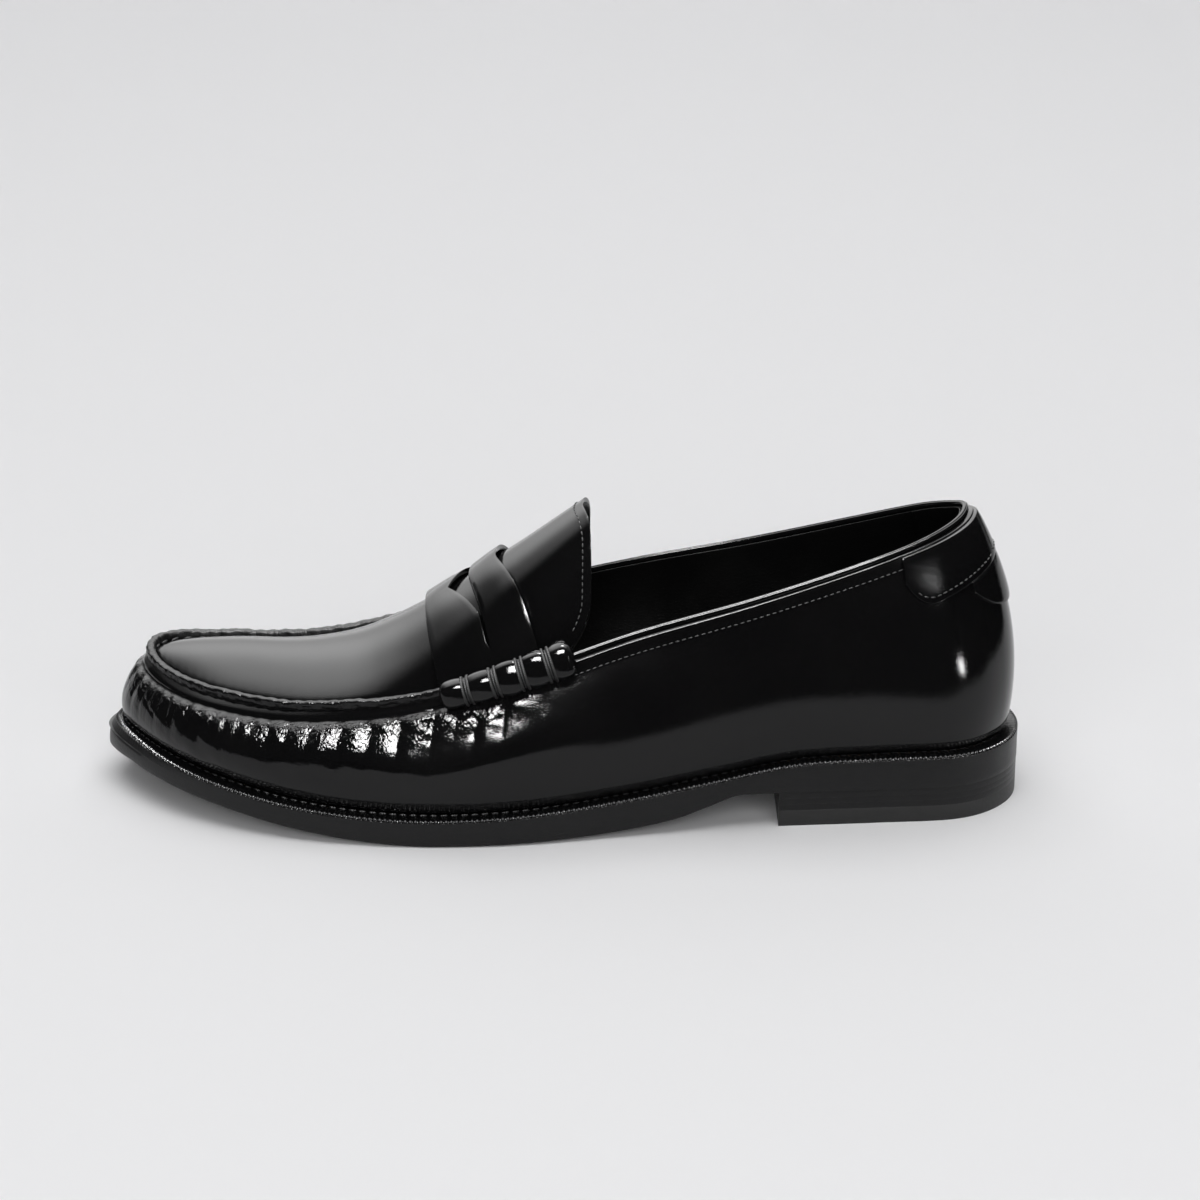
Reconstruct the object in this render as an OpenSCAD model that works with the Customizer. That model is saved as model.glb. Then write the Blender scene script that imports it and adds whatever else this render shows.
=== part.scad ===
// Penny loafer, one shoe, millimetres.
// Toe towards -X, heel towards +X, outer side towards -Y, up +Z.
// The origin is under the middle of the shoe, on the floor it stands on.

/* [Last] */
// Length of the sole from toe to heel
shoe_length = 300; // [290:1:310]
// Width of the sole across the ball
ball_width = 101; // [98:1:105]
// Height of the topline at the back seam
back_height = 96; // [94:1:98]

/* [Bottom] */
// Height of the heel under the outsole
heel_height = 11.5; // [11:0.1:12]
// Thickness of the rubber top piece
top_piece_t = 5.3; // [4:0.1:6]
// Number of leather lifts between top piece and outsole
lift_count = 3; // [3:1:3]
// Thickness of the welt
welt_t = 3; // [2.5:0.1:3.2]
// Width of welt that shows in front of the upper
welt_front = 5; // [4.5:0.1:5.5]
// Width of welt that shows behind the upper
welt_back = 3.6; // [3.2:0.1:4]
// Distance from heel breast to the back of the heel
heel_length = 80; // [76:1:82]

/* [Leather] */
// Thickness of the outer leather
wall_t = 1.5; // [1.2:0.1:1.5]
// Thickness of the stiffeners
stiffener_t = 0.8; // [0.6:0.1:0.8]
// Thickness of the linings
lining_t = 0.8; // [0.6:0.1:0.8]
// Thickness of the apron and the tongue
apron_t = 1.8; // [1.5:0.1:1.8]
// Thickness of the saddle strap
strap_t = 2.2; // [1.8:0.1:2.4]
// Height of the raised seam above the apron
lip_height = 3.3; // [2.8:0.1:3.6]

/* [Trim] */
// Radius of the bound topline edge
binding_r = 1.7; // [1.4:0.1:1.7]
// Number of bulges in each beef roll
roll_bulges = 5; // [4:1:6]
// Hand stitches along the raised seam
seam_stitches = 64; // [40:2:80]
// Thickness of the sewing thread
thread = 0.6; // [0.4:0.1:0.7]

/* [Hidden] */

black = [0.03, 0.03, 0.035];
edge_black = [0.08, 0.08, 0.085];
lining_black = [0.12, 0.12, 0.12];
tan_leather = [0.72, 0.55, 0.36];
cork = [0.62, 0.45, 0.28];
steel = [0.7, 0.72, 0.75];
brass = [0.8, 0.65, 0.3];
rubber_black = [0.05, 0.05, 0.05];

$fn = 32;
gap = 0.2;             // air between two layers of the upper
steps = 4;             // ribs in each panel between two stations
rows = 8;              // rows of points up the side of the upper
kx = shoe_length / 300;
ky = ball_width / 101;
kz = (back_height - 22) / 74;  // the tables below are for a topline 96 above the floor

// Stations round the last, from the back seam along the outer side to the toe and back along
// the inner side: sole edge x, y, then top of the wall x, y, z, then how far the wall bulges.
STATIONS = [
    [150, 3, 132, 3, 96, 7],
    [144.7, -15, 128.5, -5.5, 93.6, 7],
    [129, -27.8, 117, -15, 90, 7],
    [100, -31.5, 96, -22.5, 84, 6.5],
    [62, -35, 62, -27, 73.8, 6.5],
    [22, -42.5, 24, -29.5, 63.2, 7],
    [-14, -49.5, -10, -35, 52.8, 6.5],
    [-50, -50.5, -46, -35, 42.5, 6],
    [-86, -44, -82, -30, 38, 6],
    [-116, -30, -110, -19, 38, 5.5],
    [-138, -10.5, -129, -3, 39.6, 4],
    [-150, 12, -136, 13, 41.8, 3.5],
    [-140, 36, -130, 26, 41.4, 4.5],
    [-116, 47, -110, 30.5, 40.2, 6],
    [-86, 50.5, -82, 30.5, 40.6, 7],
    [-50, 50, -48, 33.5, 46.8, 7],
    [-14, 42.5, -12, 35, 58, 6.5],
    [22, 35, 24, 34, 67.2, 7],
    [62, 33.5, 62, 32.5, 75, 6.5],
    [100, 36.5, 96, 27.5, 84, 6.5],
    [129, 33.8, 117, 20.5, 90.7, 7],
    [144.7, 21, 128.5, 11.5, 94.4, 7]];
count = len(STATIONS);
toe = count / 2;       // station at the toe; station 0 is the back seam

// Heights along the shoe: x, z
WELT_TOP = [[-150, 20.5], [-138, 18.9], [-108, 14.6], [-85, 11.6], [-60, 9.7], [-38, 9.2],
    [-10, 10.2], [20, 12.8], [50, 17], [75, heel_height + 9.7], [95, heel_height + 10.7],
    [150, heel_height + 11]];
SOLE_BOTTOM = [[-150, 12.5], [-138, 10.2], [-108, 6.4], [-85, 3.6], [-60, 0.9], [-40, 0],
    [-15, 0.3], [15, 1.6], [36, 4.4], [48, heel_height - 3.4], [58, heel_height],
    [80, heel_height], [150, heel_height]];
RIDGE = [[-136, 42], [-128, 44.5], [-118, 46.5], [-105, 47.8], [-90, 48.3], [-78, 49.3],
    [-66, 51.7], [-54, 56.8], [-42, 63.7], [-30, 71.7], [-20, 79], [-10, 86.3], [0, 93.5],
    [12, 102]];

// ---- curves ----

function mix(a, b, t) = a + (b - a) * t;
function clamp(x, lo, hi) = min(max(x, lo), hi);
function ramp(x, x0, x1, a, b) = mix(a, b, clamp((x - x0) / (x1 - x0), 0, 1));
function unit(v) = v / norm(v);
function spaced(a, b, n) = [for (i = [0:n]) mix(a, b, i / n)];

// Smooth curve through four neighbours, from b to c as t goes from 0 to 1
function through(a, b, c, d, t) =
    0.5 * (2 * b + (c - a) * t + (2 * a - 5 * b + 4 * c - d) * t * t
        + (3 * b - a - 3 * c + d) * t * t * t);

// Heights above the welt stretch with back_height, heights below it don't
heel_seat = 22;
function tall(z) = heel_seat + (z - heel_seat) * kz;
function station_row(i) = let (r = STATIONS[(i % count + count) % count])
    [r[0] * kx, r[1] * ky, r[2] * kx, r[3] * ky, tall(r[4]), r[5]];
function station(s) = let (i = floor(s), t = s - i)
    through(station_row(i - 1), station_row(i), station_row(i + 1), station_row(i + 2), t);

// Height read from a list of x, z, with a smooth curve between its points
function interval(list, x, i = 0) =
    i >= len(list) - 2 || x < list[i + 1][0] ? i : interval(list, x, i + 1);
function slope(list, i) = let (a = list[max(i - 1, 0)], b = list[min(i + 1, len(list) - 1)])
    (b[1] - a[1]) / (b[0] - a[0]);
function height(list, x) = let (
        i = interval(list, x), h = list[i + 1][0] - list[i][0],
        t = clamp((x - list[i][0]) / h, 0, 1),
        m0 = slope(list, i) * h, m1 = slope(list, i + 1) * h)
    (2 * pow(t, 3) - 3 * t * t + 1) * list[i][1] + (pow(t, 3) - 2 * t * t + t) * m0
        + (3 * t * t - 2 * pow(t, 3)) * list[i + 1][1] + (pow(t, 3) - t * t) * m1;
function welt_top(x) = height(WELT_TOP, x / kx);
function sole_bottom(x) = clamp(height(SOLE_BOTTOM, x / kx), 0, heel_height);
function ridge(x) = tall(height(RIDGE, x / kx));

// Direction away from the shoe at station s, level with the floor
function outward(s) = let (a = station(s - 0.01), b = station(s + 0.01),
        d = unit([b[0] - a[0], b[1] - a[1]]))
    [-d[1], d[0]];
function sole_edge(s, inset = 0) = let (r = station(s)) [r[0], r[1]] - inset * outward(s);
function welt_shows(x) = ramp(x, -60, 60, welt_front, welt_back);

// Point on the side of the upper: h runs from 0 at the welt to 1 at the top edge, d is the
// depth below the outer face.
function side(s, h, d = 0) = let (
        r = station(s), n = outward(s),
        f = [r[0], r[1]] - welt_shows(r[0]) * n,
        foot = [f[0], f[1], welt_top(r[0]) + gap],
        top = [r[2], r[3], r[4]],
        out = r[5] * 4 * h * (1 - h) - d)
    mix(foot, top, h) + out * [n[0], n[1], 0];

// Share of the side's height that lies z_drop below its top edge
function drop(s, z_drop) = let (r = station(s)) 1 - z_drop / (r[4] - welt_top(r[0]));

// Point over the instep: u runs from 0 at the toe to 1 under the strap and on along the tongue,
// v from the outer to the inner side.
rail_span = 4.8;
function rail(s, inset) = let (r = station(s), n = outward(s))
    [r[2] - inset * n[0], r[3] - inset * n[1], r[4]];
function instep(u, v, lift = 0, inset = 0) = let (
        a = rail(toe - rail_span * u, inset), b = rail(toe + rail_span * u, inset),
        x = (a[0] + b[0]) / 2, crown = ridge(x) - (a[2] + b[2]) / 2,
        power = ramp(x, -60, -15, 2, 2.6))
    mix(a, b, v) + [0, 0, crown * (1 - pow(abs(2 * v - 1), power)) + lift];

// ---- solids from grids of points ----

// Closed solid between two grids of points of the same size. Seen from the front grid's side the
// first index turns right into the second. wrap joins the last row of points to the first, and
// skip lists the cells left open as holes.
function flat_list(g) = [for (r = g) each r];
function skipped(skip, i, j) = len([for (c = skip) if (c[0] == i && c[1] == j) 1]) > 0;
module shell(front, back, wrap = false, skip = []) {
    n = len(front);
    m = len(front[0]);
    cells = wrap ? n : n - 1;
    back_from = n * m;
    function at(i, j) = (i % n) * m + j;
    function there(i, j) = (wrap || (i >= 0 && i < cells)) && j >= 0 && j < m - 1
        && !skipped(skip, (i + n) % n, j);
    function quad(a, b, c, d) = [[a, b, c], [a, c, d]];
    function wall(a, b) = quad(a, back_from + a, back_from + b, b);
    faces = [for (i = [0:cells - 1]) for (j = [0:m - 2]) if (there(i, j)) each concat(
        quad(at(i, j), at(i, j + 1), at(i + 1, j + 1), at(i + 1, j)),
        quad(back_from + at(i, j), back_from + at(i + 1, j),
            back_from + at(i + 1, j + 1), back_from + at(i, j + 1)),
        there(i - 1, j) ? [] : wall(at(i, j), at(i, j + 1)),
        there(i, j + 1) ? [] : wall(at(i, j + 1), at(i + 1, j + 1)),
        there(i + 1, j) ? [] : wall(at(i + 1, j + 1), at(i + 1, j)),
        there(i, j - 1) ? [] : wall(at(i + 1, j), at(i, j)))];
    polyhedron(concat(flat_list(front), flat_list(back)), faces);
}

// Stations from a to b, and shares of the height from a to b, that fall on the same grid for every
// layer, so that two layers never touch between their points
function ribs(a, b) = concat([a],
    [for (i = [ceil(a * steps + 0.1):floor(b * steps - 0.1)]) i / steps], [b]);
function levels(a, b) = concat([a],
    [for (i = [1:rows - 1]) if (i / rows > a + 0.01 && i / rows < b - 0.01) i / rows], [b]);
all_round = [for (i = [0:count * steps - 1]) i / steps];

// Part of the side of the upper between stations from and to, from share low to share high(s)
module side_panel(from, to, low, high, depth, thick) {
    ss = ribs(from, to);
    function face(s, d) = [for (h = levels(low(s), high(s))) side(s, h, d)];
    shell([for (s = ss) face(s, depth + thick)], [for (s = ss) face(s, depth)]);
}

// Flat layer of the bottom, up to station toe - reach and toe + reach, by its inset edge
ACROSS = [0, 0.25, 0.5, 0.75, 1];
module layer(reach, inset, z_low, z_high) {
    pairs = [for (k = spaced(0.02, reach, ceil(reach * steps)))
        [sole_edge(toe - k, inset), sole_edge(toe + k, inset)]];
    function face(z) = [for (p = pairs) [for (t = ACROSS) let (q = mix(p[0], p[1], t))
        [q[0], q[1], z(q[0])]]];
    shell(face(z_high), face(z_low));
}

// Ring of n points round c, and tubes of such rings along a path
function ring(c, across, up, n) = [for (k = [0:n - 1]) let (a = 360 * k / n)
    c + cos(a) * across + sin(a) * up];
function tube_faces(from, rings, n, closed) = concat(
    [for (i = [0:rings - (closed ? 1 : 2)]) for (k = [0:n - 1]) let (
            a = from + i * n + k, b = from + i * n + (k + 1) % n,
            c = from + ((i + 1) % rings) * n + (k + 1) % n, d = from + ((i + 1) % rings) * n + k)
        each [[a, b, c], [a, c, d]]],
    closed ? [] : [for (k = [1:n - 2]) [from, from + k + 1, from + k]],
    closed ? [] : [for (k = [1:n - 2]) let (e = from + (rings - 1) * n) [e, e + k, e + k + 1]]);
module tubes(list, n, closed = false) {
    rings = len(list[0]);
    polyhedron([for (t = list) each flat_list(t)],
        [for (i = [0:len(list) - 1]) each tube_faces(i * rings * n, rings, n, closed)]);
}

// Square strand of thread; up is the direction the leather faces at each point of the path
SQUARE = [[1, 1], [-1, 1], [-1, -1], [1, -1]];
function square_ring(p, across, up, half) = [for (q = SQUARE) p + half * (q[0] * across + q[1] * up)];
function thread_rings(path, up) = [for (i = [0:len(path) - 1]) let (
        a = path[max(i - 1, 0)], b = path[min(i + 1, len(path) - 1)],
        along = unit(b - a), across = unit(cross(along, up[i])))
    square_ring(path[i], across, unit(cross(across, along)), thread / 2)];

// ---- bottom ----

sole_clear = 0.05;     // the ball of the outsole hangs this far above the floor
outsole_inset = 0.4;
module outsole() color(edge_black) layer(toe - 0.02, outsole_inset,
    function(x) sole_bottom(x) + sole_clear, function(x) welt_top(x) - welt_t - gap);

welt_width = 9;
module welt() {
    function face(s, z) = [for (inset = [0, welt_width]) let (p = sole_edge(s, inset))
        [p[0], p[1], welt_top(sole_edge(s)[0]) + z]];
    color(edge_black) shell([for (s = all_round) face(s, -welt_t)], [for (s = all_round) face(s, 0)],
        wrap = true);
}

welt_stitch_inset = 1.6;
module welt_thread() {
    path = [for (s = all_round) let (p = sole_edge(s, welt_stitch_inset))
        [p[0], p[1], welt_top(sole_edge(s)[0]) + thread / 2 + 0.05]];
    n = len(path);
    rings = [for (i = [0:n - 1]) let (along = unit(path[(i + 1) % n] - path[(i + n - 1) % n]))
        square_ring(path[i], unit(cross(along, [0, 0, 1])), [0, 0, 1], thread / 2)];
    color(lining_black) tubes([rings], 4, closed = true);
}

module bottom_filler() color(cork) layer(toe - 5.4, welt_width + 0.4,
    function(x) welt_top(x) - welt_t + 0.1, function(x) welt_top(x) - 0.1);

shank_from = 14;
shank_to = 104;
shank_width = 15;
shank_t = 1.6;
shank_sink = 0.6;      // below the top of the welt, in the open middle of the heel and waist
shank_y = 1;
module shank() {
    xs = spaced(shank_from, shank_to, 12);
    function strip(x, z) = [for (y = [-shank_width / 2, shank_width / 2])
        [x, shank_y + y, welt_top(x) + z]];
    color(steel) shell([for (x = xs) strip(x, -shank_sink)],
        [for (x = xs) strip(x, -shank_sink - shank_t)]);
}

insole_inset = 9.4;
insole_lift = 0.2;
insole_t = 2;
sock_t = 1;
module insole() color(tan_leather) layer(toe - 0.02, insole_inset,
    function(x) welt_top(x) + insole_lift, function(x) welt_top(x) + insole_lift + insole_t);
sock_lift = insole_lift + insole_t + 0.1;
module sock_liner() color(lining_black) layer(toe - 0.02, insole_inset + 0.3,
    function(x) welt_top(x) + sock_lift, function(x) welt_top(x) + sock_lift + sock_t);

// ---- heel ----

lift_t = (heel_height - top_piece_t) / lift_count;
lift_gap = 0.05;
breast_x = shoe_length / 2 - heel_length;
heel_inset = 0.6;
// Station between a and b at which the heel's edge crosses the breast line
function breast_station(a, b, n = 20) = let (s = (a + b) / 2)
    n == 0 ? s : sole_edge(s, heel_inset)[0] > breast_x
        ? breast_station(s, b, n - 1) : breast_station(a, s, n - 1);
module heel_plan() polygon([for (s = spaced(breast_station(-2, -6), breast_station(2, 6), 44))
    sole_edge(s, heel_inset)]);
nail_r = 1.1;
brad_r = 0.8;
NAIL_PLACES = [[86, -16], [86, 21], [106, -18], [106, 24], [128, -14], [128, 20], [138, 3]];
peg_depth = 1.2;       // how far the brads reach into the first lift
brad_cover = 0.6;      // rubber left under the brads
BRAD_PLACES = [[76, -26], [76, 28], [92, -25], [92, 28], [110, -23], [110, 28], [126, -19],
    [126, 25], [139, -8], [139, 14], [143, 3]];
module pegs(places, r, z0, z1)
    for (p = places) translate([p[0] * kx, p[1] * ky, z0]) cylinder(r = r, h = z1 - z0);
module lift(i) color(edge_black) difference() {
    z0 = top_piece_t + i * lift_t;
    translate([0, 0, z0 + lift_gap]) linear_extrude(lift_t - lift_gap) heel_plan();
    pegs(NAIL_PLACES, nail_r + lift_gap, z0 - 1, z0 + lift_t + 1);
    if (i == 0) pegs(BRAD_PLACES, brad_r + lift_gap, z0 - 1, z0 + peg_depth);
}
module heel_top_piece() color(rubber_black) difference() {
    linear_extrude(top_piece_t) heel_plan();
    pegs(BRAD_PLACES, brad_r + lift_gap, brad_cover, top_piece_t + 1);
}
module heel_nails() color(steel)
    pegs(NAIL_PLACES, nail_r, top_piece_t + 2 * lift_gap, heel_height - lift_gap);
module top_piece_brads() color(brass)
    pegs(BRAD_PLACES, brad_r, brad_cover + lift_gap, top_piece_t + peg_depth - 2 * lift_gap);

// ---- upper ----

// The raised seam runs over the front of the shoe, the bound topline round the back.
seam_end = 4.2;        // stations from the toe to the end of the raised seam
under_binding = 2.2;
function over_front(s) = ramp(abs(s - toe), seam_end - 0.2, seam_end + 0.15, 1, 0);
function side_top(s) = mix(drop(s, under_binding), 1, over_front(s));
module moccasin_wall() {
    function face(s, d) = concat([for (h = levels(0, side_top(s))) side(s, h, d)],
        [side(s, side_top(s), d) + [0, 0, mix(0.2, lip_height, over_front(s))]]);
    color(black) shell([for (s = all_round) face(s, wall_t)], [for (s = all_round) face(s, 0)],
        wrap = true);
}

// Layers behind the outer leather
stiffener_d = wall_t + gap;
lining_d = stiffener_d + stiffener_t + gap;
grip_d = lining_d + lining_t + gap;
grip_t = 0.6;
module toe_puff() color(tan_leather) side_panel(toe - 2.2, toe + 2.2,
    function(s) 0.06, function(s) 0.78, stiffener_d, stiffener_t);
module heel_counter() color(tan_leather) side_panel(-3.6, 3.6,
    function(s) 0.03, function(s) 0.6, stiffener_d, stiffener_t);
module vamp_lining() color(lining_black) side_panel(toe - 4.9, toe + 4.9,
    function(s) 0.03, function(s) 0.88, lining_d, lining_t);
module quarter_lining() color(lining_black) side_panel(-5.95, 5.95,
    function(s) 0.03, function(s) drop(s, under_binding + 0.1), lining_d, lining_t);
module heel_grip() color(lining_black) side_panel(-2.1, 2.1,
    function(s) 0.4, function(s) drop(s, under_binding + 0.1), grip_d, grip_t);

apron_inset = wall_t + 0.35;
// The front half keeps to the instep's own ribs; behind it the ribs fan out to end just in front
// of the strap's rear edge.
function apron_rib(t, v) = t < 0.5 ? t : mix(0.5, strap_rear(v) - 0.012, 2 * t - 1);
module apron() {
    ts = concat([0.03], spaced(0.08, 1, 20));
    vs = spaced(0, 1, 12);
    function face(lift) = [for (t = ts) [for (v = vs) instep(apron_rib(t, v), v, lift, apron_inset)]];
    color(black) shell(face(0), face(-apron_t));
}
apron_lining_inset = 6.5;
module apron_lining() {
    us = spaced(0.12, 0.9, 14);
    vs = spaced(0, 1, 8);
    top = -apron_t - 2 * gap;
    function face(lift) = [for (u = us) [for (v = vs) instep(u, v, lift, apron_lining_inset)]];
    color(lining_black) shell(face(top), face(top - lining_t));
}
seam_reach = 0.79;     // the hand stitches run this far along the instep on each side
stitch_share = 0.9;
module moc_seam_thread() {
    pitch = 2 * seam_reach / seam_stitches;
    places = [for (i = [0:seam_stitches - 1]) (i + 0.5) * pitch - seam_reach];
    function on_apron(w) = instep(abs(w), w < 0 ? 0.02 : 0.98, thread / 2 + 0.45, apron_inset);
    color(lining_black) tubes([for (w = places) if (abs(w) > 0.04) let (
            half = pitch * stitch_share / 2,
            path = [on_apron(w - half), on_apron(w + half)])
        thread_rings(path, [[0, 0, 1], [0, 0, 1]])], 4);
}

// ---- saddle strap ----

strap_lift = 0.5;
slot_from = 0.2;       // ends of the slot across the instep
function strap_front(v) = 0.853 + 0.03 * pow(abs(2 * v - 1), 2);
function strap_rear(v) = 0.985 + 0.085 * pow(abs(2 * v - 1), 1.4);
function slot_share(v) = pow(max(0, 1 - pow(abs(2 * v - 1) / 0.6, 2)), 0.5);
function slot_rear(v) = 0.935 + 0.05 * pow(abs(2 * v - 1), 1.4);
function slot_front(v) = slot_rear(v) - 0.012 - 0.03 * slot_share(v);
module saddle_strap() {
    vs = spaced(0.035, 0.965, 20);
    function edges(v) = [strap_front(v), mix(strap_front(v), slot_front(v), 0.5), slot_front(v),
        slot_rear(v), mix(slot_rear(v), strap_rear(v), 0.5), strap_rear(v)];
    function face(lift) = [for (v = vs) [for (u = edges(v)) instep(u, v, lift, 0)]];
    slot = [for (i = [0:len(vs) - 2])
        if (vs[i] > slot_from - 0.01 && vs[i + 1] < 1.01 - slot_from) [i, 2]];
    color(black) shell(face(strap_lift), face(strap_lift + strap_t), skip = slot);
}

// ---- beef rolls ----

roll_out = 3.7;        // half the roll's depth, and half its height at its two ends
roll_up = [4.1, 5];
roll_clear = 1.4;
roll_waist = 0.1;      // how full the roll is where the thread pulls it in
// Centre of the roll on the outer side (dir -1) or the inner side (dir 1), t from front to rear
function roll_centre(t, dir) = let (s = toe + dir * mix(4.3, 5.36, t), r = station(s), n = outward(s),
        out = roll_out + roll_clear)
    [r[2] + out * n[0], r[3] + out * n[1], r[4] + mix(0.2, 1.2, t)];
function roll_along(t, dir) = unit(roll_centre(t + 0.01, dir) - roll_centre(t - 0.01, dir));
function roll_full(t) = mix(roll_waist, 1, sqrt(abs(sin(180 * roll_bulges * t))));
function roll_ring(t, dir, grow = 0) = let (
        along = roll_along(t, dir), across = unit(cross(along, [0, 0, 1])), f = roll_full(t))
    ring(roll_centre(t, dir), (roll_out * mix(0.75, 1, f) + grow) * across,
        (mix(roll_up[0], roll_up[1], t) * mix(0.78, 1, f) + grow) * cross(across, along), 10);
module beef_roll(dir) color(black)
    tubes([[for (t = spaced(0, 1, roll_bulges * 6)) roll_ring(t, dir)]], 10);
module roll_thread(dir) {
    wraps = [for (i = [1:roll_bulges - 1]) i / roll_bulges];
    function wrap_ring(p, c, along) = square_ring(p, along, unit(p - c), thread * 0.45);
    color(lining_black) tubes([for (t = wraps) [for (p = roll_ring(t, dir, thread / 2 + 0.3))
        wrap_ring(p, roll_centre(t, dir), roll_along(t, dir))]], 4, closed = true);
}

// ---- tongue ----

tongue_inset = lining_d + lining_t + 0.6;
tongue_drop = 0.1;     // below the surface the strap and apron lie on
function tongue_root(v) = strap_rear(v) + 0.006;
// The rear edge stands upright and turns forward at both lower corners
function tongue_end(v) = let (e = abs(2 * v - 1)) 1.16 - 0.055 * pow(max(0, (e - 0.7) / 0.3), 2);
module tongue_layer(lift, thick, trim) {
    vs = spaced(0.01 + trim, 0.99 - trim, 16);
    function face(z) = [for (v = vs) [for (t = spaced(0, 1, 5)) instep(
        mix(tongue_root(v) + trim * 0.05, tongue_end(v) - trim * 0.2, t), v, z, tongue_inset)]];
    shell(face(lift - thick), face(lift));
}
module tongue() color(black) tongue_layer(-tongue_drop, apron_t, 0);
module tongue_lining() color(lining_black)
    tongue_layer(-tongue_drop - apron_t - 2 * gap, lining_t, 0.01);
tongue_stitch_back = 0.012;
module tongue_thread() {
    vs = spaced(0.08, 0.92, 20);
    path = [for (v = vs)
        instep(tongue_end(v) - tongue_stitch_back, v, thread / 2 + 0.6, tongue_inset)];
    color(lining_black) tubes([thread_rings(path, [for (v = vs) [0, 0, 1]])], 4);
}

// ---- topline and heel trim ----

binding_reach = 5.62;
function binding_centre(s) = let (r = station(s), n = outward(s), d = (lining_d + lining_t) / 2)
    [r[2] - d * n[0], r[3] - d * n[1], r[4] - 0.1];
module topline_binding() {
    function section(s) = let (
            along = unit(binding_centre(s + 0.02) - binding_centre(s - 0.02)),
            across = unit(cross(along, [0, 0, 1])))
        ring(binding_centre(s), binding_r * across, binding_r * cross(across, along), 8);
    color(black) tubes([[for (s = spaced(-binding_reach, binding_reach, 46)) section(s)]], 8);
}

// Row of stitches on the side of the upper: share(s) of its height, standing out from the last
module side_stitches(runs, share, out) {
    function run(r) = let (ss = spaced(r[0], r[1], 24)) thread_rings(
        [for (s = ss) side(s, share(s), -out - thread / 2 - gap)],
        [for (s = ss) let (n = outward(s)) [n[0], n[1], 0]]);
    color(lining_black) tubes([for (r = runs) run(r)], 4);
}
stitch_drop = 7;
module topline_thread()
    side_stitches([[2.6, 5.55], [-5.55, -2.6]], function(s) drop(s, stitch_drop), 0);

tab_reach = 2.35;
flap_reach = 1.45;
tab_t = 1.1;
tab_clear = 0.15;
function tab_low(s) = 0.755 + 0.05 * (1 - pow(s / 2, 2)) + 0.14 * pow(max(0, (abs(s) - 1.95) / 0.4), 2);
function flap_low(s) = 0.6 + 0.13 * pow(abs(s) / flap_reach, 3);
module tab_layer(reach, low, high, n) {
    ss = spaced(-reach, reach, n);
    function face(d) = [for (s = ss) [for (t = spaced(0, 1, 3)) side(s, mix(low(s), high(s), t), d)]];
    color(black) shell(face(-tab_clear), face(-tab_clear - tab_t));
}
module heel_tab() tab_layer(tab_reach, function(s) tab_low(s), function(s) drop(s, under_binding), 24);
module heel_tab_flap()
    tab_layer(flap_reach, function(s) flap_low(s), function(s) tab_low(s) - 0.006, 14);
module heel_tab_thread()
    side_stitches([[-2.15, 2.15]], function(s) tab_low(s) + 0.03, tab_clear + tab_t);

outsole();
welt();
welt_thread();
bottom_filler();
shank();
insole();
sock_liner();
lift(0);  // heel_lift_1
lift(1);  // heel_lift_2
lift(2);  // heel_lift_3
heel_top_piece();
heel_nails();
top_piece_brads();
moccasin_wall();
toe_puff();
heel_counter();
vamp_lining();
quarter_lining();
heel_grip();
apron();
apron_lining();
moc_seam_thread();
saddle_strap();
beef_roll(-1);  // beef_roll_near
beef_roll(1);  // beef_roll_far
roll_thread(-1);  // roll_thread_near
roll_thread(1);  // roll_thread_far
tongue();
tongue_lining();
tongue_thread();
topline_binding();
topline_thread();
heel_tab();
heel_tab_flap();
heel_tab_thread();
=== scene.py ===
# Penny loafer: the looks of one shoe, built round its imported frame.
# Toe towards -X, heel towards +X, outer side towards -Y. Shapes are worked out in millimetres and
# become metres where a mesh is made.
import math

import bmesh
import bpy
import numpy as np
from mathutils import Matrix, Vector
from mathutils.kdtree import KDTree


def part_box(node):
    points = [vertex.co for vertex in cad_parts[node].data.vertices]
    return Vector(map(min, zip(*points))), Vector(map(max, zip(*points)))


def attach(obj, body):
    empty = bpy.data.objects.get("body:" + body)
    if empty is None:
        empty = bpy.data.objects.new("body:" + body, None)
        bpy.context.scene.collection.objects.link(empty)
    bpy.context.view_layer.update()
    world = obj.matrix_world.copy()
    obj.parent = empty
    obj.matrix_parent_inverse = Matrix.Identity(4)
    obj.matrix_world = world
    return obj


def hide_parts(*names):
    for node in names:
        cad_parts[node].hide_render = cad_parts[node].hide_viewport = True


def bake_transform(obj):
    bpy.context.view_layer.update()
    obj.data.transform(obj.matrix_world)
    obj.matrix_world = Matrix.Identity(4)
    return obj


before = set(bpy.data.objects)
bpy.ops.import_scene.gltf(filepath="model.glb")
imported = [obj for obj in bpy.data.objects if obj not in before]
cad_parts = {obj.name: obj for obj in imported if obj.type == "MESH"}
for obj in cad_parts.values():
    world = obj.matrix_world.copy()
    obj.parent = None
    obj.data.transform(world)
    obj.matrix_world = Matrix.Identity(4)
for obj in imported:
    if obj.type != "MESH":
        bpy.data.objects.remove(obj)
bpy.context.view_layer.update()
MM = 0.001

# ---- sizes ----

SEED = 7
WALL_T = 1.5  # outer leather
LINING_D, LINING_T = 3.0, 0.8  # how deep the linings lie, and their thickness
APRON_T = 1.8
STRAP_T = 1.8
LIP_HEIGHT = 3.3
WELT_T, WELT_WIDTH = 3.0, 9.0
BINDING_R = 0.98
THREAD = 0.6
ROLL_BULGES = 5
SEAM_PITCH = 4.3  # hand stitches
WHEEL_PITCH = 1.62  # marks of the wheel along the welt
HEEL_HEIGHT, TOP_PIECE_T, LIFTS = 11.5, 5.3, 3
SHARP_EDGE = math.radians(60)  # edges bent more than this stay crisp

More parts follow.
